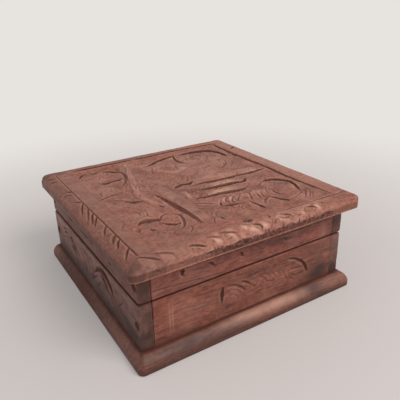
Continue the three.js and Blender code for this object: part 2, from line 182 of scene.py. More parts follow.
floor_mesh = bpy.data.meshes.new("floor")
floor_build = bmesh.new()
bmesh.ops.create_grid(floor_build, x_segments=8, y_segments=8, size=FLOOR_REACH)
floor_build.to_mesh(floor_mesh)
floor_build.free()
floor = bpy.data.objects.new("floor", floor_mesh)
scene.collection.objects.link(floor)
floor_paint, floor_tree, floor_shader = new_finish("floor_paint", {"Roughness": 0.9,
                                                                   "Specular IOR Level": 0.1})
floor_place = new_node(floor_tree, "ShaderNodeTexCoord").outputs["Object"]
floor_cloud = new_node(floor_tree, "ShaderNodeTexNoise", {"Vector": floor_place, "Detail": 4.0,
                                                          "Scale": FLOOR_CLOUD_SCALE})
floor_tone = mixed(floor_tree, floor_cloud.outputs[0], FLOOR_FAINT, FLOOR_PALE)
floor_colour = mixed(floor_tree, seen_directly(floor_tree), FLOOR_BOUNCE, floor_tone)
feed(floor_tree, floor_shader.inputs["Base Color"], floor_colour)
floor_far = new_node(floor_tree, "ShaderNodeEmission", {"Color": ROOM_SEEN})
floor_away = new_node(floor_tree, "ShaderNodeVectorMath", {0: floor_place}, operation="LENGTH")
floor_fade = sums(floor_tree, "MULTIPLY", ranged(floor_tree, floor_away.outputs["Value"], *FLOOR_FADE),
                  seen_directly(floor_tree))
blended(floor_tree, floor_fade, floor_shader.outputs[0], floor_far.outputs[0],
        floor_tree.nodes["Material Output"].inputs["Surface"])
floor_mesh.materials.append(floor_paint)

# The base board: one square plank under the walls, standing out past them all
# round, with its upper edge rounded over by hand and small nails up from below.
ARRIS_STEPS = 5
BOARD_CELL = 0.38
BASE_ROUND = [(3.6, 4.1, 1.4)] * 4
BASE_CORNER = 2.4
BASE_LOWER_BEVEL = 0.5
BASE_CELL = 0.5
# How far the real board, which isn't quite centred, reaches left, right, front and back
BASE_REACH = (-50.2, 51.4, -51.5, 51.5)
BODY_HALF = 47.0
# Where in the plank its grain is taken from, and its light, dark and red wood
BASE_GRAIN_SHIFT = (0.31, 0.12, 0.40)
BASE_TONES = (0.172, 0.066, 0.046, 1.0), (0.088, 0.031, 0.022, 1.0), (0.150, 0.046, 0.031, 1.0)
DARK_PORES = (0.055, 0.018, 0.012, 1.0)
# The worn colour also paints highlights, and the stain and dirt colours also paint shade
WORN_AND_LIT_WOOD = (0.50, 0.276, 0.204, 1.0)
PALE_SPECKS = (0.42, 0.21, 0.155, 1.0)
STAIN_AND_SHADE_WOOD = (0.052, 0.026, 0.021, 1.0)
DIRT_AND_SHADE_IN_CUTS = (0.060, 0.017, 0.010, 1.0)
# Soft patches on the front edge as (along, up, reach along, reach up, strength), and on the
# left of the board as (to the right, to the back, reaches, strength)
BASE_FRONT_STAINS = [(-30, 4.6, 13, 2.8, 0.70), (-12, 3.0, 9, 1.6, 0.5), (34, 1.6, 14, 1.2, 0.35),
                     (31, 5.0, 5, 2.6, 0.62), (22, 6.2, 5, 0.6, 0.3)]
# On the left side of the board: the stains and the shade are painted shade, the worn patches painted light
BASE_LEFT_PAINTED_SHADE = [(-50, 25, 4, 14, 0.30), (-50, -25, 4, 12, 0.12)]
BASE_LEFT_SHADE = [(-50, 20, 7, 15, 0.50), (-50, 0, 7, 9, 0.46)]
BASE_LEFT_PAINTED_LIGHT = [(-50.5, -34, 3.5, 14, 0.24), (-50.5, 45, 3.5, 6, 0.22)]


# How many random values a side the uneven surfaces repeat after
LATTICE_SIDE = 97
BOARD_CREASE = 50


def held(value):
    """The value, held between 0 and 1."""
    return np.clip(value, 0, 1)


def hump(offset, reach):
    """1 where the offset is 0, softly falling to nothing beyond about its reach."""
    return np.exp(-(offset / reach) ** 2)


def uneven(a, b, size, seed):
    """Smooth unevenness from -1 to 1, with bumps of about that size in millimetres."""
    lattice = np.random.default_rng(seed).uniform(-1, 1, (LATTICE_SIDE, LATTICE_SIDE))
    along, across = a / size + 40, b / size + 40
    column, row = np.floor(along).astype(int), np.floor(across).astype(int)
    along, across = along - column, across - row
    along = along * along * (3 - 2 * along)
    across = across * across * (3 - 2 * across)
    column, right = column % LATTICE_SIDE, (column + 1) % LATTICE_SIDE
    row, above = row % LATTICE_SIDE, (row + 1) % LATTICE_SIDE
    near = lattice[column, row] * (1 - along) + lattice[right, row] * along
    far = lattice[column, above] * (1 - along) + lattice[right, above] * along
    return near * (1 - across) + far * across


def edge_lines(side, edges, cell):
    """Mesh lines across a face: their places, how far each lies below the face and leans out."""
    reaches, falls, leans = [], [], []
    for run, drop, power in edges:
        steps = max(ARRIS_STEPS, round(1.25 * max(run, drop) / cell))
        turn = np.linspace(0, math.pi / 2, steps + 1)[1:]
        rising, level = np.sin(turn), np.clip(np.cos(turn), 1e-3, 1)
        steep, flat = drop * level ** (power - 1) * rising, run * rising ** (power - 1) * level
        reaches.append(side / 2 - run + run * rising ** power)
        falls.append(drop * (1 - held(np.cos(turn)) ** power))
        leans.append(steep / np.hypot(steep, flat))
    first, last = -side / 2 + edges[0][0], side / 2 - edges[1][0]
    middle = np.linspace(first, last, max(2, round((last - first) / cell) + 1))
    level = np.zeros(len(middle))
    return (np.concatenate([-reaches[0][::-1], middle, reaches[1]]),
            np.concatenate([falls[0][::-1], level, falls[1]]),
            np.concatenate([-leans[0][::-1], level, leans[1]]))


def set_in(a, b, length, height, corner, inset):
    """Points of the outline, moved in by the inset, with the corners rounded."""
    radius = max(corner - inset, 0.01)
    centre_a, centre_b = length / 2 - inset - radius, height / 2 - inset - radius
    a = np.clip(a, -(length / 2 - inset), length / 2 - inset)
    b = np.clip(b, -(height / 2 - inset), height / 2 - inset)
    past_a, past_b = np.abs(a) - centre_a, np.abs(b) - centre_b
    rounded = (past_a > 0) & (past_b > 0)
    share = np.maximum(past_a, past_b) / np.maximum(np.hypot(past_a, past_b), 1e-9)
    new_a = np.where(rounded, np.sign(a) * (centre_a + past_a * share), a)
    new_b = np.where(rounded, np.sign(b) * (centre_b + past_b * share), b)
    return new_a, new_b


def smoothed(mesh, crease):
    """Shades a mesh smooth but for edges that are sharper than this many degrees."""
    mesh.polygons.foreach_set("use_smooth", [True] * len(mesh.polygons))
    mesh.set_sharp_from_angle(angle=math.radians(crease))
    return mesh


def board_mesh(name, size, edges, corner, lower_bevel, cell, surface, side_rings=1, middle=(0.0, 0.0)):
    """A closed board with its face up: length, height and thickness in millimetres.

    The face has a fine mesh with rounded edges of (run, drop, power), in the order
    left, right, near, far: the power is 1 for a quarter round and more for one that
    is flatter, like a bevel. The surface function gives, for points of the face and
    of the sides, how far the wood is cut away there and the marks for the finish.
    The middle is where the board's own middle lies, from the middle of the box."""
    length, height, thickness = size
    place_a, fall_a, lean_a = edge_lines(length, edges[:2], cell)
    place_b, fall_b, lean_b = edge_lines(height, edges[2:], cell)
    a, b = np.meshgrid(place_a, place_b, indexing="ij")
    over_end = fall_a[:, None] >= fall_b[None, :]
    fall = np.where(over_end, fall_a[:, None], fall_b[None, :])
    out_a = np.where(over_end, lean_a[:, None], 0)
    out_b = np.where(over_end, 0, lean_b[None, :])
    up = np.sqrt(held(1 - out_a ** 2 - out_b ** 2))
    sunk, marks = surface(a + middle[0], b + middle[1], thickness - fall)
    face_a, face_b = set_in(a, b, length, height, corner, 0.0)
    points = [np.stack([(face_a - sunk * out_a).ravel(), (face_b - sunk * out_b).ravel(),
                        (thickness - fall - sunk * up).ravel()], axis=1)]
    kept = {key: [value.ravel()] for key, value in marks.items()}

    columns, rows = a.shape
    index = np.arange(columns * rows).reshape(columns, rows)
    rim = np.concatenate([index[:-1, 0], index[-1, :-1], index[:0:-1, -1], index[0, :0:-1]])
    rim_a, rim_b, rim_c = a.ravel()[rim], b.ravel()[rim], thickness - fall.ravel()[rim]
    on_end = np.abs(rim_a) >= length / 2 - 1e-6
    rings = np.linspace(0, 1, side_rings + 1)[1:]
    for share in rings:
        ring_c = rim_c + (lower_bevel - rim_c) * share
        ring_sunk, ring_marks = surface(rim_a + middle[0], rim_b + middle[1], ring_c)
        ring_a, ring_b = set_in(rim_a, rim_b, length, height, corner, 0.0)
        ring_a = ring_a - ring_sunk * np.where(on_end, np.sign(rim_a), 0)
        ring_b = ring_b - ring_sunk * np.where(on_end, 0, np.sign(rim_b))
        points.append(np.stack([ring_a, ring_b, ring_c], axis=1))
        for key in kept:
            kept[key].append(ring_marks[key])
    foot_a, foot_b = set_in(rim_a, rim_b, length, height, corner, lower_bevel)
    points.append(np.stack([foot_a, foot_b, np.zeros(len(rim))], axis=1))
    for key in kept:
        kept[key].append(np.zeros(len(rim)))

    corners = np.stack([index[:-1, :-1], index[1:, :-1], index[1:, 1:], index[:-1, 1:]], axis=-1)
    faces = corners.reshape(-1, 4).tolist()
    upper = rim
    for ring in range(len(rings) + 1):
        lower = columns * rows + ring * len(rim) + np.arange(len(rim))
        wall = np.stack([upper, lower, np.roll(lower, -1), np.roll(upper, -1)], axis=1)
        faces += wall.tolist()
        upper = lower
    faces.append(upper[::-1].tolist())
    mesh = bpy.data.meshes.new(name)
    mesh.from_pydata((np.concatenate(points) + (*middle, 0)) * MM, [], faces)
    for key, values in kept.items():
        attribute = mesh.attributes.new(key, "FLOAT", "POINT")
        attribute.data.foreach_set("value", held(np.concatenate(values)).astype(np.float32))
    return smoothed(mesh, BOARD_CREASE)


def blots(a, b, spots):
    """Soft patches: each spot is (place a, place b, reach a, reach b, strength)."""
    total = np.zeros(np.shape(a))
    for spot_a, spot_b, reach_a, reach_b, strength in spots:
        total = total + strength * np.exp(-((a - spot_a) / reach_a) ** 2 - ((b - spot_b) / reach_b) ** 2)
    return total


def new_group(name, takes, gives):
    """A new node group with sockets of (name, kind), and the nodes for what it takes and gives."""
    group = bpy.data.node_groups.new(name, "ShaderNodeTree")
    for direction, sockets in (("INPUT", takes), ("OUTPUT", gives)):
        for socket, kind in sockets:
            group.interface.new_socket(name=socket, in_out=direction, socket_type="NodeSocket" + kind)
    return group, new_node(group, "NodeGroupInput"), new_node(group, "NodeGroupOutput")


def noise(tree, place, scale, detail=2.0, rough=0.5):
    """Cloudy noise about 0.5, with a scale for each axis in bumps per metre."""
    stretched = new_node(tree, "ShaderNodeVectorMath", {0: place, 1: scale}, operation="MULTIPLY")
    return new_node(tree, "ShaderNodeTexNoise", {"Vector": stretched.outputs[0], "Scale": 1.0,
                                                 "Detail": detail, "Roughness": rough}).outputs[0]


def make_grain_group():
    """Figure of the reddish hardwood: broad bands, fine streaks and short dark pores."""
    group, given, result = new_group(
        "wood_grain", [("Place", "Vector"), ("Light", "Color"), ("Dark", "Color"), ("Red", "Color")],
        [("Color", "Color"), ("Streaks", "Float")])
    place = given.outputs["Place"]
    bend = noise(group, place, (9.0, 30.0, 30.0), 2.0)
    lift = sums(group, "MULTIPLY", sums(group, "SUBTRACT", bend, 0.5), 0.012)
    shift = new_node(group, "ShaderNodeCombineXYZ", {1: lift, 2: lift}).outputs[0]
    bent = new_node(group, "ShaderNodeVectorMath", {0: place, 1: shift}, operation="ADD").outputs[0]
    bands = noise(group, bent, (9.0, 190.0, 190.0), 3.0, 0.55)
    fine = noise(group, bent, (40.0, 850.0, 850.0), 3.0, 0.6)
    pores = noise(group, bent, (130.0, 1700.0, 1700.0), 1.0, 0.5)
    patch = noise(group, place, (30.0, 70.0, 70.0), 3.0, 0.6)
    mottle = noise(group, place, (330.0, 520.0, 520.0), 3.0, 0.7)
    tone = sums(group, "ADD", sums(group, "MULTIPLY", bands, 0.4), sums(group, "MULTIPLY", fine, 0.6))
    tone = ranged(group, tone, 0.37, 0.63)
    colour = mixed(group, tone, given.outputs["Dark"], given.outputs["Light"])
    colour = mixed(group, ranged(group, patch, 0.42, 0.66, 0.0, 0.6), colour, given.outputs["Red"])
    colour = mixed(group, 1.0, colour, ranged(group, mottle, 0.32, 0.68, 0.74, 1.21), "MULTIPLY")
    dashes = ranged(group, pores, 0.57, 0.68, 0.0, 0.6)
    feed(group, result.inputs["Color"], mixed(group, dashes, colour, DARK_PORES))
    relief = sums(group, "SUBTRACT", sums(group, "MULTIPLY", fine, 0.6), sums(group, "MULTIPLY", dashes, 0.8))
    feed(group, result.inputs["Streaks"], relief)
    return group


def make_soiling_group():
    """Years of handling, with light and shade painted in: dark dirt and painted shade in the cuts and at the
    feet, soft stains and painted shade, pale worn places and painted highlights.
    """
    group, given, result = new_group(
        "soiling", [("Color", "Color"), ("Place", "Vector"), ("Dirt and shade", "Float"), ("Stain and shade", "Float"),
                    ("Worn and lit", "Float")], [("Color", "Color"), ("Roughness", "Float")])
    speckle = noise(group, given.outputs["Place"], (500.0, 900.0, 900.0), 3.0, 0.6)
    cloud = noise(group, given.outputs["Place"], (70.0, 110.0, 110.0), 3.0, 0.6)
    broken = ranged(group, speckle, 0.30, 0.70, 0.80, 1.12)
    worn_and_lit = sums(group, "MULTIPLY", given.outputs["Worn and lit"], ranged(group, cloud, 0.30, 0.65, 0.45, 1.1),
                clamp=True)
    colour = mixed(group, worn_and_lit, given.outputs["Color"], WORN_AND_LIT_WOOD)
    colour = mixed(group, ranged(group, speckle, 0.35, 0.8, 0.0, 0.13), colour, PALE_SPECKS)
    stain_and_shade = sums(group, "MULTIPLY", given.outputs["Stain and shade"], ranged(group, cloud, 0.3, 0.7, 0.7, 1.15),
                 clamp=True)
    colour = mixed(group, stain_and_shade, colour, STAIN_AND_SHADE_WOOD)
    dirt_and_shade_mark = sums(group, "MULTIPLY", given.outputs["Dirt and shade"], broken, clamp=True)
    feed(group, result.inputs["Color"], mixed(group, dirt_and_shade_mark, colour, DIRT_AND_SHADE_IN_CUTS))
    gloss = sums(group, "ADD", sums(group, "MULTIPLY", dirt_and_shade_mark, 0.3), ranged(group, cloud, 0.3, 0.7, 0.44, 0.60))
    feed(group, result.inputs["Roughness"], gloss)
    return group


GRAIN = make_grain_group()
SOILING = make_soiling_group()


def lay_on(tree, shader, look, height, strength, distance):
    """Gives a shader the colour and roughness of a group, and relief from a height in millimetres."""
    bump = new_node(tree, "ShaderNodeBump", {"Strength": strength, "Distance": distance * MM,
                                             "Height": height})
    for socket, value in (("Base Color", look["Color"]), ("Roughness", look["Roughness"]),
                          ("Normal", bump.outputs["Normal"])):
        feed(tree, shader.inputs[socket], value)


def wood_finish(name, grain_axis, shift, light, dark, red, crossing=1.0):
    """Wood whose grain runs along X or Y; the shift takes it from its own part of the plank.

    A crossing above 1 shortens its streaks, as where the grain rises to the face."""
    finish, tree, shader = new_finish(name, {"IOR": 1.48, "Specular IOR Level": 0.26})
    along_x = grain_axis == "X"
    place = new_node(tree, "ShaderNodeMapping", {
        "Vector": new_node(tree, "ShaderNodeTexCoord").outputs["Object"], "Location": shift,
        "Rotation": (0, 0, 0 if along_x else math.radians(90)),
        "Scale": (crossing, 1, 1) if along_x else (1, crossing, 1)}).outputs[0]
    grain = new_node(tree, "ShaderNodeGroup", {"Place": place, "Light": light, "Dark": dark, "Red": red},
                     node_tree=GRAIN).outputs
    dirt_and_shade_mark, stain_and_shade, worn_and_lit = (new_node(tree, "ShaderNodeAttribute", attribute_name=key).outputs["Fac"]
                        for key in ("dirt_and_shade_mark", "stain_and_shade", "worn_and_lit"))
    soiling = new_node(tree, "ShaderNodeGroup", {"Color": grain["Color"], "Place": place, "Dirt and shade": dirt_and_shade_mark,
                                                 "Stain and shade": stain_and_shade, "Worn and lit": worn_and_lit}, node_tree=SOILING).outputs
    lay_on(tree, shader, soiling, grain["Streaks"], 0.7, 0.10)
    return finish


def as_piece(name, mesh, body, finish):
    """A mesh as the piece that stands for the frame's node of that name."""
    piece = bpy.data.objects.new(name + "_visual", mesh)
    scene.collection.objects.link(piece)
    mesh.materials.clear()
    mesh.materials.append(finish)
    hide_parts(name)
    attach(piece, body)
    return piece


def solid(name, steps):
    """An object made by builder steps, each of which adds a closed mesh."""
    build = bmesh.new()
    for step in steps:
        step(build)
    mesh = bpy.data.meshes.new(name)
    build.to_mesh(mesh)
    build.free()
    made = bpy.data.objects.new(name, mesh)
    scene.collection.objects.link(made)
    return made


def combine(whole, steps, operation):
    """Cuts closed meshes out of an object for good, or joins them to it."""
    tool = solid("tool", steps)
    change = whole.modifiers.new("combine", "BOOLEAN")
    change.operation = operation
    change.solver = "MANIFOLD"
    change.object = tool
    ready = bpy.context.evaluated_depsgraph_get()
    result = bpy.data.meshes.new_from_object(whole.evaluated_get(ready))
    whole.modifiers.clear()
    whole.data = result
    bpy.data.objects.remove(tool)


def rod(middle, length, radii, segments, turn=Matrix()):
    """A round rod of two end radii, upright unless turned, as a builder step."""
    def add(build):
        lay = Matrix.Translation(Vector(middle) * MM) @ turn
        bmesh.ops.create_cone(build, cap_ends=True, segments=segments, radius1=radii[0] * MM,
                              radius2=radii[1] * MM, depth=length * MM, matrix=lay)
    return add


def base_surface(a, b, c):
    """Slight hand-planed unevenness, painted shadow at the foot of the walls, painted shade and light on the
    left side, a pale streak in front.
    """
    sunk = 0.05 + 0.05 * uneven(a, b, 9.0, 11)
    reach = np.maximum(np.abs(a), np.abs(b))
    # Painted shadow where the walls stand on the board
    foot_shade = hump(reach - BODY_HALF - 0.2, 0.7)
    front = (b < -BODY_HALF) & (np.abs(a) < 52)
    pale = np.where(front, hump(c - 5.5 + 0.02 * a, 1.5) * held((a + 22) / 16), 0)
    pale = pale * (0.75 + 0.35 * uneven(a, c, 6.0, 12)) * (1 - 0.80 * held((a - 25) / 5))
    lower = held((3.1 - c) / 1.0) * (reach > 49)
    stain_and_shade = 0.46 * lower + 0.18 * held(uneven(a + c, b, 7.0, 13))
    stain_and_shade = stain_and_shade + blots(a, c, BASE_FRONT_STAINS) * front
    # Painted shade and painted light on the left side of the board
    stain_and_shade = stain_and_shade + blots(a, b, BASE_LEFT_PAINTED_SHADE)
    shade = blots(a, b, BASE_LEFT_SHADE)
    pale = pale + blots(a, b, BASE_LEFT_PAINTED_LIGHT)
    return sunk, {"dirt_and_shade_mark": np.maximum(0.85 * foot_shade, shade), "stain_and_shade": stain_and_shade, "worn_and_lit": 0.74 * pale}


def flat_board(node, reach, edges, corner, lower_bevel, cell, surface, side_rings):
    """A lying board as thick as the frame's own, reaching so far left, right, front and back."""
    left, right, front, back = reach
    low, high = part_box(node)
    mesh = board_mesh(node, (right - left, back - front, (high.z - low.z) / MM), edges, corner,
                      lower_bevel, cell, surface, side_rings, ((left + right) / 2, (front + back) / 2))
    mesh.transform(Matrix.Translation((0, 0, low.z)))
    return mesh


base_mesh = flat_board("base_board", BASE_REACH, BASE_ROUND, BASE_CORNER, BASE_LOWER_BEVEL, BASE_CELL,
                       base_surface, 2)
base_wood = wood_finish("base_wood", "X", BASE_GRAIN_SHIFT, *BASE_TONES)
base_board = as_piece("base_board", base_mesh, "box", base_wood)

# The four side boards of the body, butted and nailed: the left and right ones
# run the full depth and show their ends at the front. Each is carved on its
# outside with a gouge, in loose leaf strokes that dirt has filled since; their
# dark is dirt with painted shade.
SIDES = ("front", "right", "back", "left")
THROUGH_SIDES = ("left", "right")
WALL_THICKNESS = 5.0
WALL_ARRIS = [(0.3, 0.3, 1.0)] * 4
WALL_CORNER = 0.4
INNER_BEVEL = 0.35
INNER_HALF = BODY_HALF - WALL_THICKNESS
STROKE_STEPS = 6
SCOOP_SIDE = 131
# How far the boards stand out again along the seam, at the flanks and at the faces
FLANK_SWELL = 0.35
FACE_SWELL = 0.1

# A stroke of the gouge: (widths along it, depth, lean, darkness, path), in
# millimetres but for the path. A lean above 0 makes its left bank steep and its
# right bank a gentle slope, and below 0 the other way round. Paths on side
# boards are [share of half the body's side to the right, height above the table].
FACE_CUTS = [
    ((1.5, 1.3, 0.8), 0.6, 0.5, 1.0, [(-0.275, 19.9), (-0.282, 17.0), (-0.287, 13.8)]),
    ((0.5, 0.8, 0.9, 0.6), 0.45, 0.5, 0.75,
     [(-0.26, 20.0), (-0.20, 19.8), (-0.15, 19.0), (-0.10, 17.5), (-0.07, 16.0), (-0.05, 15.1)]),
    ((0.6, 0.9, 0.6), 0.45, 0.5, 0.8, [(-0.10, 20.0), (-0.05, 18.8), (-0.02, 17.8), (0.0, 16.8)]),
    ((0.4, 0.5, 0.4), 0.3, 0.0, 0.35, [(-0.21, 17.6), (-0.16, 17.2), (-0.12, 15.8), (-0.10, 14.4)]),
    ((0.4, 0.5, 0.4), 0.3, 0.0, 0.35, [(-0.21, 15.6), (-0.17, 15.2), (-0.14, 14.0), (-0.13, 12.8)]),
    ((0.4, 0.4), 0.25, 0.0, 0.3, [(-0.10, 13.6), (-0.04, 12.4)]),
    ((0.6, 1.0, 0.7), 0.3, 0.0, 0.75, [(0.0, 20.6), (0.03, 20.9), (0.05, 21.3), (0.07, 20.9)]),
    ((0.6, 0.7, 0.6), 0.3, 0.0, 0.55, [(0.0, 17.2), (0.02, 16.2), (0.04, 15.4), (0.06, 16.3), (0.07, 17.4)]),
    ((0.5, 0.6, 0.5), 0.3, 0.3, 0.50, [(0.06, 18.2), (0.10, 18.6), (0.13, 17.6), (0.16, 16.2), (0.17, 15.2)]),
    ((0.5, 0.6, 0.5), 0.3, 0.3, 0.45, [(0.13, 19.6), (0.18, 18.4), (0.20, 17.0)]),
    ((0.5, 0.7, 0.5), 0.3, 0.0, 0.45, [(0.17, 15.2), (0.23, 14.6), (0.30, 15.2)]),
    ((0.4, 0.6, 0.4), 0.25, 0.0, 0.40, [(0.20, 19.2), (0.24, 17.4), (0.26, 15.8)]),
    ((0.4, 0.6, 0.4), 0.25, 0.0, 0.35, [(0.27, 18.4), (0.30, 16.9), (0.31, 15.6)]),
    ((0.4, 0.6, 0.5), 0.3, 0.0, 0.50, [(0.35, 17.0), (0.36, 15.2), (0.38, 13.4), (0.40, 12.2)]),
    ((0.5, 0.7, 0.9, 1.0, 1.2, 0.9), 0.6, 0.6, 1.0,
     [(0.38, 22.0), (0.42, 21.7), (0.47, 20.8), (0.50, 20.0), (0.54, 18.8), (0.57, 17.5),
      (0.595, 16.0), (0.61, 14.5), (0.62, 13.3), (0.63, 12.5)]),
    ((0.6, 1.0, 0.6), 0.35, 0.0, 0.60, [(0.41, 16.4), (0.48, 16.2), (0.57, 15.4)]),
    ((0.7, 0.6), 0.3, 0.0, 0.60, [(0.52, 13.3), (0.56, 13.0)]),
    ((0.4, 0.5, 0.4), 0.25, 0.0, 0.35, [(0.42, 14.6), (0.47, 13.2), (0.50, 11.6)]),
    ((0.4, 0.5, 0.4), 0.25, 0.0, 0.35, [(0.41, 13.0), (0.45, 11.8), (0.48, 11.0)]),
    ((0.4, 0.6, 0.4), 0.25, 0.0, 0.30, [(-0.60, 17.2), (-0.50, 16.8), (-0.42, 16.6)]),
    ((0.4, 0.5, 0.4), 0.2, 0.0, 0.30, [(-0.48, 13.8), (-0.42, 12.2), (-0.34, 11.2)]),
]
FLANK_CUTS = [
    ((0.8, 1.2, 0.7), 0.5, 0.0, 0.9, [(-0.76, 20.6), (-0.70, 21.2), (-0.66, 21.6)]),
    ((0.8, 1.2, 0.7), 0.5, 0.0, 0.9, [(-0.72, 19.2), (-0.67, 19.8), (-0.62, 20.2)]),
    ((1.4, 2.2, 1.6, 2.2, 2.4, 1.2), 0.7, 0.4, 1.0,
     [(-0.54, 19.6), (-0.51, 20.2), (-0.465, 18.6), (-0.43, 17.6), (-0.40, 16.9), (-0.36, 15.0)]),
    ((1.2, 2.4, 1.4), 0.5, 0.0, 0.8, [(-0.53, 16.0), (-0.46, 15.2), (-0.41, 13.4)]),
    ((0.7, 1.1, 0.9, 0.6), 0.4, 0.4, 0.7, [(-0.264, 20.3), (-0.182, 18.7), (-0.138, 15.7), (-0.11, 12.5)]),
    ((0.7, 1.1, 0.9, 0.6), 0.4, 0.4, 0.7, [(-0.194, 22.3), (-0.098, 21.0), (-0.044, 17.9), (-0.03, 14.4)]),
    ((0.6, 0.9, 0.6), 0.35, 0.4, 0.6, [(-0.347, 17.0), (-0.284, 14.4), (-0.222, 11.8)]),
    ((0.6, 0.8, 0.6), 0.35, 0.4, 0.55, [(-0.30, 19.4), (-0.235, 17.2), (-0.19, 14.4)]),
    ((0.6, 0.9, 0.6), 0.35, 0.4, 0.6, [(0.068, 19.6), (0.073, 16.9), (0.02, 12.7)]),
    ((1.2, 1.5), 0.4, 0.0, 0.85, [(0.005, 22.1), (0.035, 21.0)]),
    ((0.8, 1.4, 2.0, 2.4, 2.4, 2.0, 1.0), 0.75, -0.7, 1.0,
     [(0.10, 17.0), (0.16, 19.2), (0.225, 20.6), (0.298, 21.1), (0.359, 20.5), (0.416, 19.2), (0.47, 17.4),
      (0.515, 15.4)]),
    ((1.6, 2.6, 2.6, 1.4), 0.8, 0.0, 1.0, [(0.26, 19.4), (0.32, 18.2), (0.37, 16.5), (0.41, 14.6)]),
    ((0.7, 1.0, 0.6), 0.35, 0.0, 0.6, [(0.01, 11.4), (0.09, 14.6), (0.17, 17.0)]),
    ((0.6, 0.9, 0.6), 0.35, 0.0, 0.5, [(0.14, 11.8), (0.20, 13.8), (0.24, 16.4)]),
    ((0.6, 0.9, 0.5), 0.3, 0.0, 0.5, [(0.60, 14.6), (0.66, 17.0), (0.71, 19.2)]),
    ((0.5, 0.6, 0.5), 0.3, 0.0, 0.4, [(-0.80, 15.0), (-0.72, 16.6), (-0.64, 17.6)]),
    ((0.5, 0.6, 0.5), 0.3, 0.0, 0.4, [(-0.62, 22.6), (-0.54, 22.8), (-0.46, 22.4)]),
]


def stroke_line(path, unit, shift):
    """Points close together along a smooth line through the points of a path."""
    given = np.array(path, float) * unit + shift
    padded = np.vstack([2 * given[0] - given[1], given, 2 * given[-1] - given[-2]])
    s = np.linspace(0, 1, STROKE_STEPS + 1)[:-1, None]
    line = []
    for before, start, end, after in zip(padded, padded[1:], padded[2:], padded[3:]):
        line.append(0.5 * (2 * start + (end - before) * s
                           + (2 * before - 5 * start + 4 * end - after) * s ** 2
                           + (3 * start - before - 3 * end + after) * s ** 3))
    return np.vstack(line + [given[-1:]])


def beside_line(a, b, line, reach):
    """How near points lie to a line: which ones, how far, on which side, how far along."""
    low_corner, high_corner = line.min(0) - reach, line.max(0) + reach
    near = ((a > low_corner[0]) & (a < high_corner[0]) & (b > low_corner[1]) & (b < high_corner[1]))
    a, b = a[near], b[near]
    steps = np.hypot(*np.diff(line, axis=0).T)
    run = np.concatenate([[0], np.cumsum(steps)])
    away, left, along = np.full(a.shape, 1e9), np.ones(a.shape), np.zeros(a.shape)
    for start, end, begun, step in zip(line, line[1:], run, steps):
        span_a, span_b = end - start
        share = held(((a - start[0]) * span_a + (b - start[1]) * span_b) / max(step ** 2, 1e-12))
        off_a, off_b = a - start[0] - share * span_a, b - start[1] - share * span_b
        distance = np.hypot(off_a, off_b)
        closer = distance < away
        away = np.where(closer, distance, away)
        left = np.where(closer, np.sign(span_a * off_b - span_b * off_a), left)
        along = np.where(closer, begun + share * step, along)
    return near, away, left, along, run[-1]


def gouged(a, b, cuts, unit, shift=(0, 0)):
    """All these strokes at each point: depth, how dark their dirt and painted shade are, how pale their lips
    are from wear and painted highlight.
    """
    depth_at, dirt_and_shade_at, lip_at = np.zeros(np.shape(a)), np.zeros(np.shape(a)), np.zeros(np.shape(a))
    for number, (widths, depth, lean, darkness, path) in enumerate(cuts):
        widest = max(widths)
        near, away, left, along, length = beside_line(a, b, stroke_line(path, unit, shift),
                                                      2.6 * widest + 0.8)
        width = np.interp(along / length, np.linspace(0, 1, len(widths)), widths)
        width = width * (1 + 0.08 * uneven(along, 0 * along, 1.3, 300 + number))
        to_end = np.minimum(along, length - along)
        width = width * (0.45 + 0.55 * held(to_end / (1.1 * widest)))
        leaning = lean * left
        bank = 0.5 * width * np.where(leaning > 0, 1 - 0.4 * leaning, 1 - 1.9 * leaning)
        hollow = held(1 - (away / bank) ** 2)
        depth_at[near] = np.maximum(depth_at[near], depth * hollow * np.sqrt(width / widest))
        dark_reach = np.minimum(0.5 * width, 0.45 + 0.2 * width)
        dark_reach = dark_reach * np.where(leaning > 0, 1 - 0.3 * leaning, 1 - 0.4 * leaning)
        core = held((1.35 - away / dark_reach) / 0.6)
        # Dirt in the core of a stroke, and painted shade over its gentle bank
        dirt_and_shade = darkness * np.maximum(core, 0.45 * held(1.1 - away / bank))
        dirt_and_shade_at[near] = np.maximum(dirt_and_shade_at[near], dirt_and_shade)
        # Pale lips beside a stroke: wear, and a painted highlight
        lip = darkness * hump(away - bank - 0.25, 0.3) * held(to_end / 0.8)
        lip_at[near] = np.maximum(lip_at[near], lip)
    return depth_at, dirt_and_shade_at, lip_at * held(1 - 2 * dirt_and_shade_at)


def scooped(a, b, length, width, angle, seed):
    """Ground cleared with a gouge: shallow scoops of that size, 0 deep inside and 1 on the ribs."""
    turn = math.radians(angle)
    along = (a * math.cos(turn) + b * math.sin(turn)) / length + 60
    across = (b * math.cos(turn) - a * math.sin(turn)) / width + 60
    dice = np.random.default_rng(seed)
    jitter_along, jitter_across = dice.uniform(0.1, 0.9, (2, SCOOP_SIDE, SCOOP_SIDE))
    column, row = np.floor(along).astype(int), np.floor(across).astype(int)
    nearest = np.full(np.shape(a), 9.0)
    for step_column in (-1, 0, 1):
        for step_row in (-1, 0, 1):
            i, j = (column + step_column) % SCOOP_SIDE, (row + step_row) % SCOOP_SIDE
            off_along = column + step_column + jitter_along[i, j] - along
            off_across = row + step_row + jitter_across[i, j] - across
            nearest = np.minimum(nearest, off_along ** 2 + off_across ** 2)
    return held(nearest)


PIT_DEPTH = 0.9
PIT_RADIUS = 1.65
PIT_RAGGED = 0.18


def nail_pit(a, b, spot, seed):
    """The ragged hole over a sunk nail head, and the dirt in and round it."""
    away = np.hypot(a - spot[0], b - spot[1]) + PIT_RAGGED * uneven(a, b, 0.9, seed)
    return PIT_DEPTH * held((PIT_RADIUS - away) / 0.35), held(1.9 - away / 1.2)


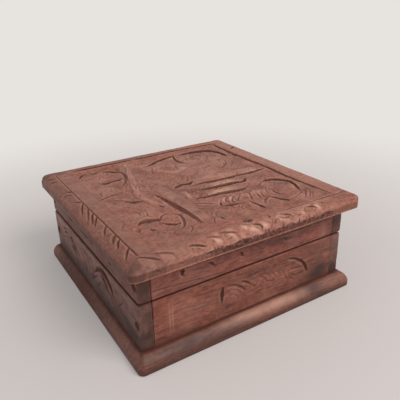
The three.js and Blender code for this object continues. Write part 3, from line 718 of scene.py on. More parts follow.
NAIL_LINE = 44.5
WALL_FOOT = 6.5
WALL_HEIGHT = 19.0
WALL_MIDDLE = WALL_FOOT + WALL_HEIGHT / 2
WALL_NAIL_HEIGHT = 16.0
# How the walls' outsides are worked: hollow, wave size, ripple and its size, ribs and their width
WALL_TOOLING = (0.14, 8.0, 0.04, 2.2, 0.08, 2.6)
# How wide the dirt at the seam is, in the middle and at the ends, on faces and on flanks
WALL_SEAM_DIRT = {False: (0.15, 0.15), True: (0.9, 0.3)}
# Soft patches of the walls: (share of half the body, height, reaches, strength)
# Worn patches of the flanks: the first, high near the left end as seen from outside, is painted light
FLANK_WORN_AND_LIT = [(-0.80, 22.0, 0.22, 4.5, 0.40), (-0.24, 17.5, 0.10, 4.0, 0.4), (0.10, 21.0, 0.08, 3.0, 0.2)]
FLANK_STAINS = [(0.33, 17.4, 0.06, 2.6, 0.55), (-0.45, 16.6, 0.06, 2.4, 0.35), (-0.62, 10.5, 0.25, 2.5, 0.3),
                (-0.50, 19.0, 0.035, 1.5, 0.55), (-0.42, 17.2, 0.035, 1.6, 0.5)]
# Stains of the front and back: the one low at the left, at (-0.85, 8.0), is painted shadow along the foot
FACE_STAINS_AND_SHADOW = [(0.76, 10.5, 0.13, 4.6, 0.75), (0.62, 9.0, 0.2, 3.0, 0.3), (-0.12, 12.0, 0.3, 3.0, 0.10),
               (0.50, 14.5, 0.12, 3.5, 0.15), (0.70, 17.0, 0.16, 7.0, 0.28), (-0.30, 16.5, 0.05, 2.5, 0.25),
               (-0.85, 8.0, 0.25, 1.0, 0.4), (-0.45, 26.0, 0.2, 1.5, 0.2)]
FACE_SCRATCHES = (-0.755, -0.73)


def seam_dirt(to_seam, a, middle_width, end_width):
    """Dirt along the edge at the seam, widest in the middle of the board."""
    width = end_width + (middle_width - end_width) * held(1 - (a / BODY_HALF) ** 2)
    return held(1.3 - to_seam / np.maximum(width, 0.1))


def end_grain(a, b, c, dark_front, dark_back, seed):
    """Grey, darker wood on the end of a board that runs through."""
    on_end = (np.abs(a) > BODY_HALF - 0.3) * held((WALL_THICKNESS + 0.1 - c) / 0.6)
    return on_end * np.where(a > 0, dark_front, dark_back) * (1 + 0.35 * uneven(b, c, 2.5, seed))


def corner_pits(a, b, height, seed, on_face, depth, dirt_and_shade):
    """Depth and dirt with the pits of the two corner nails, at a height from the board's middle."""
    for end, corner_seed in ((-1, 1), (1, 2)):
        pit, pit_dirt = nail_pit(a, b, (end * NAIL_LINE, height), seed + corner_seed)
        depth, dirt_and_shade = np.maximum(depth, pit * on_face), np.maximum(dirt_and_shade, pit_dirt * on_face)
    return depth, dirt_and_shade


def side_work(a, b, on_face, through, cuts, middle_height, seed, tooling, to_seam, seam_widths):
    """How a side board was planed, scooped and carved: hollow, stroke depth, dirt with painted shade, and
    lips pale from wear and painted highlight.
    """
    level, wave_size, ripple, ripple_size, ribs, rib_width = tooling
    sunk = level + 0.05 * uneven(a, b, wave_size, seed) + ripple * uneven(a, b, ripple_size, seed + 1)
    sunk = sunk - ribs * scooped(a, b, 9.0, rib_width, 0, seed + 6)
    depth, dirt_and_shade, lip = gouged(a, b, cuts, (BODY_HALF, 1.0), (0, -middle_height))
    sunk = sunk + (FLANK_SWELL if through else FACE_SWELL) * hump(to_seam, 0.6) * on_face
    dirt_and_shade = np.maximum(dirt_and_shade, 0.95 * seam_dirt(to_seam, a, *seam_widths[through]))
    return sunk, depth, dirt_and_shade, lip


def wall_surface(side):
    """The carved and worn outside of one wall, with painted shadow along its foot, and on the flanks painted
    shade low down and over the left wall.
    """
    through = side in THROUGH_SIDES
    cuts = FLANK_CUTS if through else FACE_CUTS
    seed = 20 + 5 * SIDES.index(side)
    half = BODY_HALF if through else INNER_HALF

    def surface(a, b, c):
        z = b + WALL_MIDDLE
        on_face = c > WALL_THICKNESS - 1
        sunk, depth, dirt_and_shade, lip = side_work(a, b, on_face, through, cuts, WALL_MIDDLE, seed, WALL_TOOLING,
                                           WALL_HEIGHT / 2 - b, WALL_SEAM_DIRT)
        # Painted shadow along the foot of the wall, wider near its ends
        foot_shade = hump(WALL_HEIGHT / 2 + b, 0.7 + 0.5 * (np.abs(a) > 0.6 * half))
        dirt_and_shade = np.maximum(dirt_and_shade, 0.8 * foot_shade)
        u = a / BODY_HALF
        # Darker towards the bottom
        stain_and_shade = 0.10 * held(-b / 6)
        worn_and_lit = np.zeros(np.shape(a))
        if through:
            # Painted shade over the lower part of a flank, reaching higher towards its right end as seen from
            # outside
            lower = held((12.5 + 3.5 * held((u + 0.5) / 0.3) - z) / 4.5)
            stain_and_shade = stain_and_shade + 0.80 * lower * (1 + 0.3 * uneven(a, b, 5.0, seed + 2))
            # Darker all over, the left wall most: on the left this is painted shade
            stain_and_shade = stain_and_shade + (0.16 if side == "left" else 0.04)
            stain_and_shade = stain_and_shade + 0.26 * held(uneven(a, b, 3.0, seed + 3))
            worn_and_lit = worn_and_lit + 0.30 * hump(z - 23.0, 1.4) * (np.abs(u) < 0.9)
            worn_and_lit = worn_and_lit + blots(u, z, FLANK_WORN_AND_LIT)
            stain_and_shade = stain_and_shade + blots(u, z, FLANK_STAINS)
            ends = (0.5, 0.5) if side == "left" else (0.3, 0.25)
            stain_and_shade = stain_and_shade + end_grain(a, b, c, ends[0], ends[1], seed + 3)
            stain_and_shade = stain_and_shade + end_grain(a, b, c, 0.45, 0.2, seed + 4) * held((14 - z) / 5)
            depth, dirt_and_shade = corner_pits(a, b, WALL_NAIL_HEIGHT - WALL_MIDDLE, seed, on_face, depth, dirt_and_shade)
        else:
            stain_and_shade = stain_and_shade + blots(u, z, FACE_STAINS_AND_SHADOW)
            joint = hump(half - np.abs(a), 0.4)
            dirt_and_shade = np.maximum(dirt_and_shade, joint * (0.35 + 0.6 * held((z - 16.5) / 2)))
            scratches = sum(hump(u - place, 0.005) for place in FACE_SCRATCHES)
            worn_and_lit = 0.4 * scratches * (z > 10) * (z < 23) + 0.3 * joint * (u < 0) * (z < 18)
        worn_and_lit = worn_and_lit + 0.14 * held(uneven(a, b, 7.0, seed + 4)) + 0.35 * lip
        return sunk + depth, {"dirt_and_shade_mark": dirt_and_shade, "stain_and_shade": stain_and_shade, "worn_and_lit": worn_and_lit}

    return surface


RIGHTWARDS = {"front": (1, 0, 0), "right": (0, 1, 0), "back": (-1, 0, 0), "left": (0, -1, 0)}
OUTWARDS = {"front": (0, -1, 0), "right": (1, 0, 0), "back": (0, 1, 0), "left": (-1, 0, 0)}


def stand_up(mesh, side, middle_height):
    """Stands a flat-built side board on edge, face outwards, with its inside at its place."""
    right, out = Vector(RIGHTWARDS[side]), Vector(OUTWARDS[side])
    turned = Matrix((right, Vector((0, 0, 1)), out)).transposed().to_4x4()
    place = (out * INNER_HALF + Vector((0, 0, middle_height))) * MM
    mesh.transform(Matrix.Translation(place) @ turned)


def side_board(node, side, height, middle_height, surface, grain_shift, tones, body):
    """One upright side board, carved outside, with its grain along it."""
    through = side in THROUGH_SIDES
    length = 2 * (BODY_HALF if through else INNER_HALF)
    mesh = board_mesh(node, (length, height, WALL_THICKNESS), WALL_ARRIS, WALL_CORNER, INNER_BEVEL,
                      BOARD_CELL, surface, side_rings=5)
    stand_up(mesh, side, middle_height)
    wood = wood_finish(node + "_wood", "Y" if through else "X", grain_shift, *tones)
    return as_piece(node, mesh, body, wood)


WALL_GRAIN_SHIFTS = {"front": (0.0, 0.2, 0.0), "right": (0.5, 0.3, 0.1), "back": (0.9, 0.1, 0.3),
                     "left": (1.3, 0.7, 0.2)}
FLANK_TONES = (0.225, 0.105, 0.086, 1.0), (0.125, 0.055, 0.046, 1.0), (0.200, 0.076, 0.062, 1.0)
FACE_TONES = (0.245, 0.084, 0.056, 1.0), (0.130, 0.042, 0.030, 1.0), (0.215, 0.062, 0.042, 1.0)
walls = {}
for side in SIDES:
    tones = FLANK_TONES if side in THROUGH_SIDES else FACE_TONES
    walls[side] = side_board(side + "_wall", side, WALL_HEIGHT, WALL_MIDDLE, wall_surface(side),
                             WALL_GRAIN_SHIFTS[side], tones, "box")

# The nails: thin wire nails of iron with flat heads, punched below the wood and
# gone dark. Four hold each board group, and each stays with the part it is in.
NAIL_HEAD_RADIUS = 1.2
NAIL_HEAD_DEPTH = 0.5
NAIL_SHANK_RADIUS = 0.6
NAIL_POINT = 1.2
NAIL_SEGMENTS = 24
NAIL_HOLE_RADIUS = 1.35
NAIL_HOLE_CUT = 1.9
NAIL_HOLE_SEGMENTS = 20
TURNED_CREASE = 40
IRON_DARK = (0.045, 0.036, 0.032, 1.0)
IRON_BARE = (0.20, 0.17, 0.15, 1.0)
IRON_RUST = (0.11, 0.048, 0.026, 1.0)


def make_tarnish_group():
    """Patchy tarnish: two metal colours, a third in spots, and where it is dull."""
    group, given, result = new_group(
        "tarnish", [("Place", "Vector"), ("Clean", "Color"), ("Tarnished", "Color"), ("Spots", "Color")],
        [("Color", "Color"), ("Roughness", "Float"), ("Height", "Float")])
    place = given.outputs["Place"]
    film = ranged(group, noise(group, place, (700.0, 700.0, 700.0), 4.0, 0.6), 0.36, 0.62)
    spots = ranged(group, noise(group, place, (1900.0, 1900.0, 1900.0), 3.0, 0.6), 0.56, 0.72)
    scratches = noise(group, place, (300.0, 5200.0, 5200.0), 2.0, 0.5)
    colour = mixed(group, film, given.outputs["Clean"], given.outputs["Tarnished"])
    feed(group, result.inputs["Color"], mixed(group, spots, colour, given.outputs["Spots"]))
    dull = sums(group, "ADD", sums(group, "MULTIPLY", film, 0.22), sums(group, "MULTIPLY", spots, 0.15))
    dull = sums(group, "ADD", dull, ranged(group, scratches, 0.3, 0.7, 0.30, 0.42))
    feed(group, result.inputs["Roughness"], dull)
    height = sums(group, "ADD", scratches, sums(group, "MULTIPLY", spots, -1.5))
    feed(group, result.inputs["Height"], height)
    return group


TARNISH = make_tarnish_group()


def metal_finish(name, clean, tarnished, spots, metallic):
    """Old metal under its tarnish."""
    finish, tree, shader = new_finish(name, {"Metallic": metallic})
    place = new_node(tree, "ShaderNodeTexCoord").outputs["Object"]
    tarnish = new_node(tree, "ShaderNodeGroup", {"Place": place, "Clean": clean, "Tarnished": tarnished,
                                                 "Spots": spots}, node_tree=TARNISH).outputs
    lay_on(tree, shader, tarnish, tarnish["Height"], 0.4, 0.03)
    return finish


def turned_mesh(name, outline, segments, axis, start):
    """A closed turned piece: outline of (radius, distance) from the start along the axis."""
    build = bmesh.new()
    side = axis.orthogonal().normalized()
    other = axis.cross(side)
    rings = []
    for radius, distance in outline:
        centre = start + axis * distance
        if radius == 0:
            rings.append([build.verts.new(centre * MM)])
            continue
        ring = []
        for k in range(segments):
            turn = 2 * math.pi * k / segments
            arm = side * math.cos(turn) + other * math.sin(turn)
            ring.append(build.verts.new((centre + arm * radius) * MM))
        rings.append(ring)
    for upper, lower in zip(rings, rings[1:]):
        for k in range(segments):
            step = (k + 1) % segments
            corners = [upper[k % len(upper)], upper[step % len(upper)],
                       lower[step % len(lower)], lower[k % len(lower)]]
            build.faces.new(list(dict.fromkeys(corners)))
    bmesh.ops.recalc_face_normals(build, faces=build.faces)
    mesh = bpy.data.meshes.new(name)
    build.to_mesh(mesh)
    build.free()
    return smoothed(mesh, TURNED_CREASE)


def nail_outline(head, head_depth, shank, length, point, conical):
    """Outline of a nail from the middle of its head to its point."""
    rim = 0.12 * head
    if conical:
        top = [(0, 0.0), (0.93 * head, 0.0), (head, 0.06), (shank, head_depth)]
    else:
        top = [(0, 0.0), (0.55 * head, 0.02), (head - rim, 0.07), (head, 0.07 + rim),
               (head, head_depth - 0.1), (head - 0.1, head_depth), (shank, head_depth)]
    return top + [(shank, length - point), (0.5 * shank, length - 0.4 * point), (0, length)]


iron = metal_finish("nail_iron", IRON_BARE, IRON_DARK, IRON_RUST, 0.85)


def drive_nail(node, inwards, body):
    """A nail in the place of the frame's own, its head where that one's is."""
    low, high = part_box(node)
    inwards = Vector(inwards)
    half_length = abs(((high - low) / 2).dot(inwards))
    start = ((low + high) / 2 - inwards * half_length) / MM
    outline = nail_outline(NAIL_HEAD_RADIUS, NAIL_HEAD_DEPTH, NAIL_SHANK_RADIUS, 2 * half_length / MM,
                           NAIL_POINT, False)
    mesh = turned_mesh(node, outline, NAIL_SEGMENTS, inwards, start)
    return as_piece(node, mesh, body, iron)


for side in SIDES:
    drive_nail(f"base_{side}_nail", (0, 0, 1), "box")
for end in ("front", "back"):
    drive_nail(f"left_wall_{end}_nail", (1, 0, 0), "box")
    drive_nail(f"right_wall_{end}_nail", (-1, 0, 0), "box")
base_spots = [(0, -NAIL_LINE), (NAIL_LINE, 0), (0, NAIL_LINE), (-NAIL_LINE, 0)]
combine(base_board, [rod((x, y, -0.05), NAIL_HOLE_CUT, (NAIL_HOLE_RADIUS,) * 2, NAIL_HOLE_SEGMENTS)
                     for x, y in base_spots], "DIFFERENCE")

# The hinges: a pair of small butt hinges of thin sheet brass, let into the top
# of the back wall and the foot of the back rail. Each leaf is rolled round the
# pin at its knuckles and held by two countersunk nails. Only the knuckles show.
HINGE_PLACES = {"left": -25.0, "right": 25.0}
HINGE_LENGTH = 16.0
LEAF_THICKNESS = 0.8
LEAF_WIDTH = 4.2
LEAF_BREAK = 0.12
KNUCKLE_RADIUS = 1.25
KNUCKLE_LENGTH = 5.2
KNUCKLE_STEP = 5.4
KNUCKLE_ROOT = 1.2
KNUCKLE_JOIN = 0.25
PIN_RADIUS = 0.6
PIN_HOLE_RADIUS = 0.75
PIN_END = 0.3
PIN_PEENING = 0.16
KNUCKLE_SEGMENTS = 40
PIN_HOLE_SEGMENTS = 32
PIN_SEGMENTS = 28
LEAF_CREASE = 30
PIN_Y = 48.35
PIN_Z = 25.65
MORTISE_GAP = 0.1
BODY_TOP = 25.5
RAIL_FOOT = 25.8
HINGE_NAIL_OUT = 4.5
HINGE_NAIL_RADIUS = 0.95
HINGE_NAIL_HEAD = 0.5
HINGE_NAIL_SHANK = 0.45
BRASS_CLEAN = (0.34, 0.22, 0.095, 1.0)
BRASS_TARNISHED = (0.13, 0.085, 0.045, 1.0)
BRASS_SPOTS = (0.05, 0.034, 0.022, 1.0)

brass = metal_finish("aged_brass", BRASS_CLEAN, BRASS_TARNISHED, BRASS_SPOTS, 1.0)


def block(low, high, bevel=0.0):
    """A box between two corners in millimetres, with its edges broken, as a builder step."""
    def add(build):
        size = Vector(high) - Vector(low)
        middle = (Vector(high) + Vector(low)) / 2
        before = set(build.edges)
        lay = Matrix.Translation(middle * MM) @ Matrix.Diagonal((size * MM).to_4d())
        bmesh.ops.create_cube(build, size=1.0, matrix=lay)
        if bevel:
            edges = [edge for edge in build.edges if edge not in before]
            bmesh.ops.bevel(build, geom=edges, offset=bevel * MM, segments=2, profile=0.5, affect="EDGES")
    return add


def on_pin(x, length, radius, segments):
    """A rod along the hinge's pin, round its middle, as a builder step."""
    return rod((x, PIN_Y, PIN_Z), length, (radius, radius), segments, Matrix.Rotation(math.pi / 2, 4, "Y"))


def countersink(x, y, z, inwards):
    """The hole of a leaf for a countersunk nail, opening at its outer face, as a builder step."""
    radii = (HINGE_NAIL_RADIUS + 0.12, HINGE_NAIL_SHANK + 0.1)
    depth = LEAF_THICKNESS + 0.1
    return rod((x, y, z + inwards * (depth / 2 - 0.05)), depth, radii[::inwards], 28)


def hinge_leaf(node, middle_x, out_z, knuckles, body):
    """One leaf with its rolled knuckles. Its outer face is at out_z, towards the seam."""
    inwards = -1 if out_z < PIN_Z else 1
    far_z = out_z + inwards * LEAF_THICKNESS
    bottom, top = min(out_z, far_z), max(out_z, far_z)
    half = HINGE_LENGTH / 2
    steps = [block((middle_x - half, BODY_HALF - LEAF_WIDTH, bottom),
                   (middle_x + half, BODY_HALF, top), LEAF_BREAK)]
    for k in knuckles:
        x = middle_x + k * KNUCKLE_STEP
        steps.append(block((x - KNUCKLE_LENGTH / 2, BODY_HALF - KNUCKLE_ROOT, bottom),
                           (x + KNUCKLE_LENGTH / 2, PIN_Y - KNUCKLE_JOIN, top), LEAF_BREAK))
        steps.append(on_pin(x, KNUCKLE_LENGTH, KNUCKLE_RADIUS, KNUCKLE_SEGMENTS))
    whole = solid(node, steps[:1])
    for step in steps[1:]:
        combine(whole, [step], "UNION")
    mesh = whole.data
    bpy.data.objects.remove(whole)
    leaf = as_piece(node, mesh, body, brass)
    holes = [on_pin(middle_x, HINGE_LENGTH + 2, PIN_HOLE_RADIUS, PIN_HOLE_SEGMENTS)]
    for end in (-1, 1):
        holes.append(countersink(middle_x + end * HINGE_NAIL_OUT, BODY_HALF - LEAF_WIDTH / 2,
                                 out_z, inwards))
    combine(leaf, holes, "DIFFERENCE")
    smoothed(leaf.data, LEAF_CREASE)
    return leaf


for side, x in HINGE_PLACES.items():
    hinge_leaf(f"{side}_hinge_body_leaf", x, BODY_TOP, (-1, 1), "box")
    hinge_leaf(f"{side}_hinge_lid_leaf", x, RAIL_FOOT, (0,), "lid")
    pin_length = HINGE_LENGTH + 2 * PIN_END
    peened = [(0, 0), (0.8 * PIN_RADIUS, 0.03), (PIN_RADIUS, PIN_PEENING),
              (PIN_RADIUS, pin_length - PIN_PEENING), (0.8 * PIN_RADIUS, pin_length - 0.03), (0, pin_length)]
    pin_mesh = turned_mesh("pin", peened, PIN_SEGMENTS, Vector((1, 0, 0)),
                           Vector((x - pin_length / 2, PIN_Y, PIN_Z)))
    as_piece(f"{side}_hinge_pin", pin_mesh, "box", brass)
    for leaf, body, inwards in (("body", "box", (0, 0, -1)), ("lid", "lid", (0, 0, 1))):
        for end in ("left", "right"):
            node = f"{side}_hinge_{leaf}_{end}_nail"
            low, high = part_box(node)
            start = Vector(((low.x + high.x) / 2, (low.y + high.y) / 2, high.z if leaf == "body" else low.z))
            outline = nail_outline(HINGE_NAIL_RADIUS, HINGE_NAIL_HEAD, HINGE_NAIL_SHANK,
                                   (high.z - low.z) / MM, NAIL_POINT, True)
            as_piece(node, turned_mesh(node, outline, NAIL_SEGMENTS, Vector(inwards), start / MM),
                     body, brass)


def mortises(leaf_z, inwards):
    """Cutters for the two pockets that take the leaves on one side of the seam."""
    depth = LEAF_THICKNESS + MORTISE_GAP
    low_z, high_z = sorted((leaf_z - inwards * 1.0, leaf_z + inwards * depth))
    half = HINGE_LENGTH / 2 + MORTISE_GAP
    inner_y = BODY_HALF - LEAF_WIDTH - MORTISE_GAP
    return [block((x - half, inner_y, low_z), (x + half, BODY_HALF + 1, high_z))
            for x in HINGE_PLACES.values()]


combine(walls["back"], mortises(BODY_TOP, -1), "DIFFERENCE")

# The four rails of the lid: narrow boards joined as the walls are, nailed under
# the lid board, with a row of small hooked gouge nicks just under its edge. Their
# tooling, patches and strokes are given as the walls' are.
RAIL_HEIGHT = 11.8
RAIL_MIDDLE = RAIL_FOOT + RAIL_HEIGHT / 2
RAIL_NAIL_HEIGHT = 31.7
RAIL_TOOLING = (0.12, 9.0, 0.03, 2.5, 0.06, 2.4)
RAIL_SEAM_DIRT = {False: (0.2, 0.2), True: (1.2, 0.35)}
RAIL_GRAIN_SHIFTS = {"front": (0.05, 0.9, 0.5), "right": (0.6, 0.5, 0.6), "back": (0.2, 1.1, 0.8),
                     "left": (1.1, 0.4, 0.9)}
RAIL_TONES = (0.240, 0.080, 0.058, 1.0), (0.130, 0.044, 0.034, 1.0), (0.215, 0.064, 0.046, 1.0)
FACE_RAIL_STAINS = [(0.10, 32.6, 0.25, 1.2, 0.3), (0.85, 30.0, 0.08, 5.0, 0.2), (-0.42, 27.4, 0.22, 0.5, 0.4),
                    (0.38, 31.4, 0.1, 0.8, 0.45), (0.10, 30.8, 0.05, 0.6, 0.4), (0.5, 27.6, 0.2, 1.0, 0.2),
                    (0.62, 31.5, 0.30, 5.0, 0.16)]
FACE_RAIL_WORN = [(0.79, 29.0, 0.03, 4.0, 0.35), (-0.88, 34.5, 0.1, 1.0, 0.2)]
FACE_RAIL_CUTS = [
    ((0.8, 1.3, 1.2, 0.7), 0.5, 0.0, 1.0, [(-0.655, 33.3), (-0.625, 33.2), (-0.635, 32.0), (-0.615, 31.0)]),
    ((0.8, 1.3, 0.8), 0.5, 0.0, 0.95, [(-0.405, 32.7), (-0.39, 32.5), (-0.375, 32.0), (-0.35, 30.9)]),
    ((0.8, 1.3, 0.8), 0.5, 0.0, 0.95, [(-0.12, 32.2), (-0.10, 32.2), (-0.095, 31.3), (-0.07, 30.4)]),
    ((1.0, 1.2), 0.3, 0.0, 0.35, [(0.04, 32.9), (0.06, 32.5)]),
    ((0.8, 1.0), 0.3, 0.0, 0.35, [(0.10, 30.9), (0.12, 30.5)]),
    ((0.8, 1.1, 0.8), 0.4, 0.0, 0.45, [(0.33, 32.5), (0.36, 31.0), (0.42, 31.3)]),
    ((0.5, 0.6, 0.5), 0.2, 0.0, 0.55, [(0.28, 33.5), (0.45, 33.6), (0.62, 33.5)]),
    ((0.4, 0.6, 0.4), 0.15, 0.0, 0.5, [(-0.90, 29.5), (-0.75, 28.9), (-0.60, 28.3), (-0.30, 27.0)]),
]
FLANK_RAIL_CUTS = [
    ((0.9, 1.2, 0.8), 0.5, 0.0, 0.9, [(-0.98, 31.2), (-0.95, 32.0), (-0.91, 32.5)]),
    ((1.0, 1.8, 1.2), 0.5, 0.0, 0.75, [(-0.60, 31.5), (-0.49, 31.3), (-0.39, 30.4)]),
    ((1.0, 1.7, 1.6, 1.0), 0.5, 0.0, 0.95, [(-0.21, 31.2), (-0.13, 31.1), (-0.05, 31.0), (0.03, 30.8)]),
    ((1.7, 2.0), 0.5, 0.0, 1.0, [(0.09, 31.0), (0.135, 31.0)]),
    ((1.6, 1.6), 0.5, 0.0, 1.0, [(0.495, 30.9), (0.53, 30.6)]),
]


def rail_surface(side):
    """The outside of one rail, plain but for its nicks, its wear and its nails, with painted shadow under the
    lid and painted shade over the left rail.
    """
    through = side in THROUGH_SIDES
    cuts = FLANK_RAIL_CUTS if through else FACE_RAIL_CUTS
    seed = 60 + 5 * SIDES.index(side)
    half = BODY_HALF if through else INNER_HALF

    def surface(a, b, c):
        z = b + RAIL_MIDDLE
        on_face = c > WALL_THICKNESS - 1
        sunk, depth, dirt_and_shade, lip = side_work(a, b, on_face, through, cuts, RAIL_MIDDLE, seed, RAIL_TOOLING,
                                           RAIL_HEIGHT / 2 + b, RAIL_SEAM_DIRT)
        # Painted shadow under the lid's edge, along the top of the rail
        shade_under_lid = held(1 - (RAIL_HEIGHT / 2 - b) / 4.0)
        stain_and_shade = 0.35 * shade_under_lid + 0.10 * held(uneven(a, b, 5.0, seed + 2))
        worn_and_lit = np.zeros(np.shape(a))
        if through:
            # Darker all over, the left rail most: on the left this is painted shade
            stain_and_shade = stain_and_shade + (0.26 if side == "left" else 0.12)
            stain_and_shade = stain_and_shade + 0.14 * held(uneven(a, b, 3.0, seed + 5))
            ends = (0.5, 0.4) if side == "left" else (0.3, 0.60)
            stain_and_shade = stain_and_shade + end_grain(a, b, c, ends[0], ends[1], seed + 3)
            depth, dirt_and_shade = corner_pits(a, b, RAIL_NAIL_HEIGHT - RAIL_MIDDLE, seed, on_face, depth, dirt_and_shade)
        else:
            dirt_and_shade = np.maximum(dirt_and_shade, 0.6 * hump(half - np.abs(a), 0.4))
            stain_and_shade = stain_and_shade + blots(a / BODY_HALF, z, FACE_RAIL_STAINS)
            worn_and_lit = blots(a / BODY_HALF, z, FACE_RAIL_WORN)
        worn_and_lit = worn_and_lit + 0.12 * held(uneven(a, b, 7.0, seed + 4)) + 0.35 * lip
        return sunk + depth, {"dirt_and_shade_mark": dirt_and_shade, "stain_and_shade": stain_and_shade, "worn_and_lit": worn_and_lit}

    return surface


rails = {}
for side in SIDES:
    rails[side] = side_board(f"lid_{side}_rail", side, RAIL_HEIGHT, RAIL_MIDDLE, rail_surface(side),
                             RAIL_GRAIN_SHIFTS[side], RAIL_TONES, "lid")
combine(rails["back"], mortises(RAIL_FOOT, 1), "DIFFERENCE")
for end in ("front", "back"):
    drive_nail(f"lid_left_rail_{end}_nail", (1, 0, 0), "lid")
    drive_nail(f"lid_right_rail_{end}_nail", (-1, 0, 0), "lid")

# The lid board: one square plank, its edge moulded with a wide soft round. An
# incised line parts the nicked border from the field, which is sunk a little
# and carved by hand with scrolls, leaves and a three-fingered leaf in the middle.
# It isn't quite centred: how far it reaches left, right, front and back
LID_REACH = (-50.6, 52.3, -51.8, 51.6)
LID_ROUND = [(5.6, 2.9, 1.3), (2.4, 1.3, 1.2), (6.4, 2.6, 1.3), (2.0, 0.9, 1.2)]
LID_CORNER = 2.8
LID_BEVEL = 0.15
LID_CELL = 0.36
FIELD_HALF = 44.8
LID_NAIL_LINE = 43.7
FIELD_SINK = 0.48
# The share of half the field at which its sunk ground begins to rise to the border
FIELD_RISE = 0.975
FIELD_SCOOP = (4.6, 1.9)
BORDER_SCOOP = (3.2, 3.0)
FIELD_CHIPS = 320
LID_GRAIN_SHIFT = (0.07, 0.33, 0.71)
LID_CROSSING = 3.0
LID_TONES = (0.266, 0.101, 0.070, 1.0), (0.212, 0.078, 0.054, 1.0), (0.268, 0.087, 0.057, 1.0)
# The front of the moulding lies beyond this place and below this height of the lid board,
# and a pale dusty band runs along it between these ends, above this foot
FRONT_PLACE = -48.6
FRONT_TOP = 4.6
BAND_ENDS = (-24, 37)
BAND_FOOT = 0.35
BAND_TOP = 3.1
# The petals' slant, as its cosine and sine
PETAL_SLANT = (0.83, 0.56)

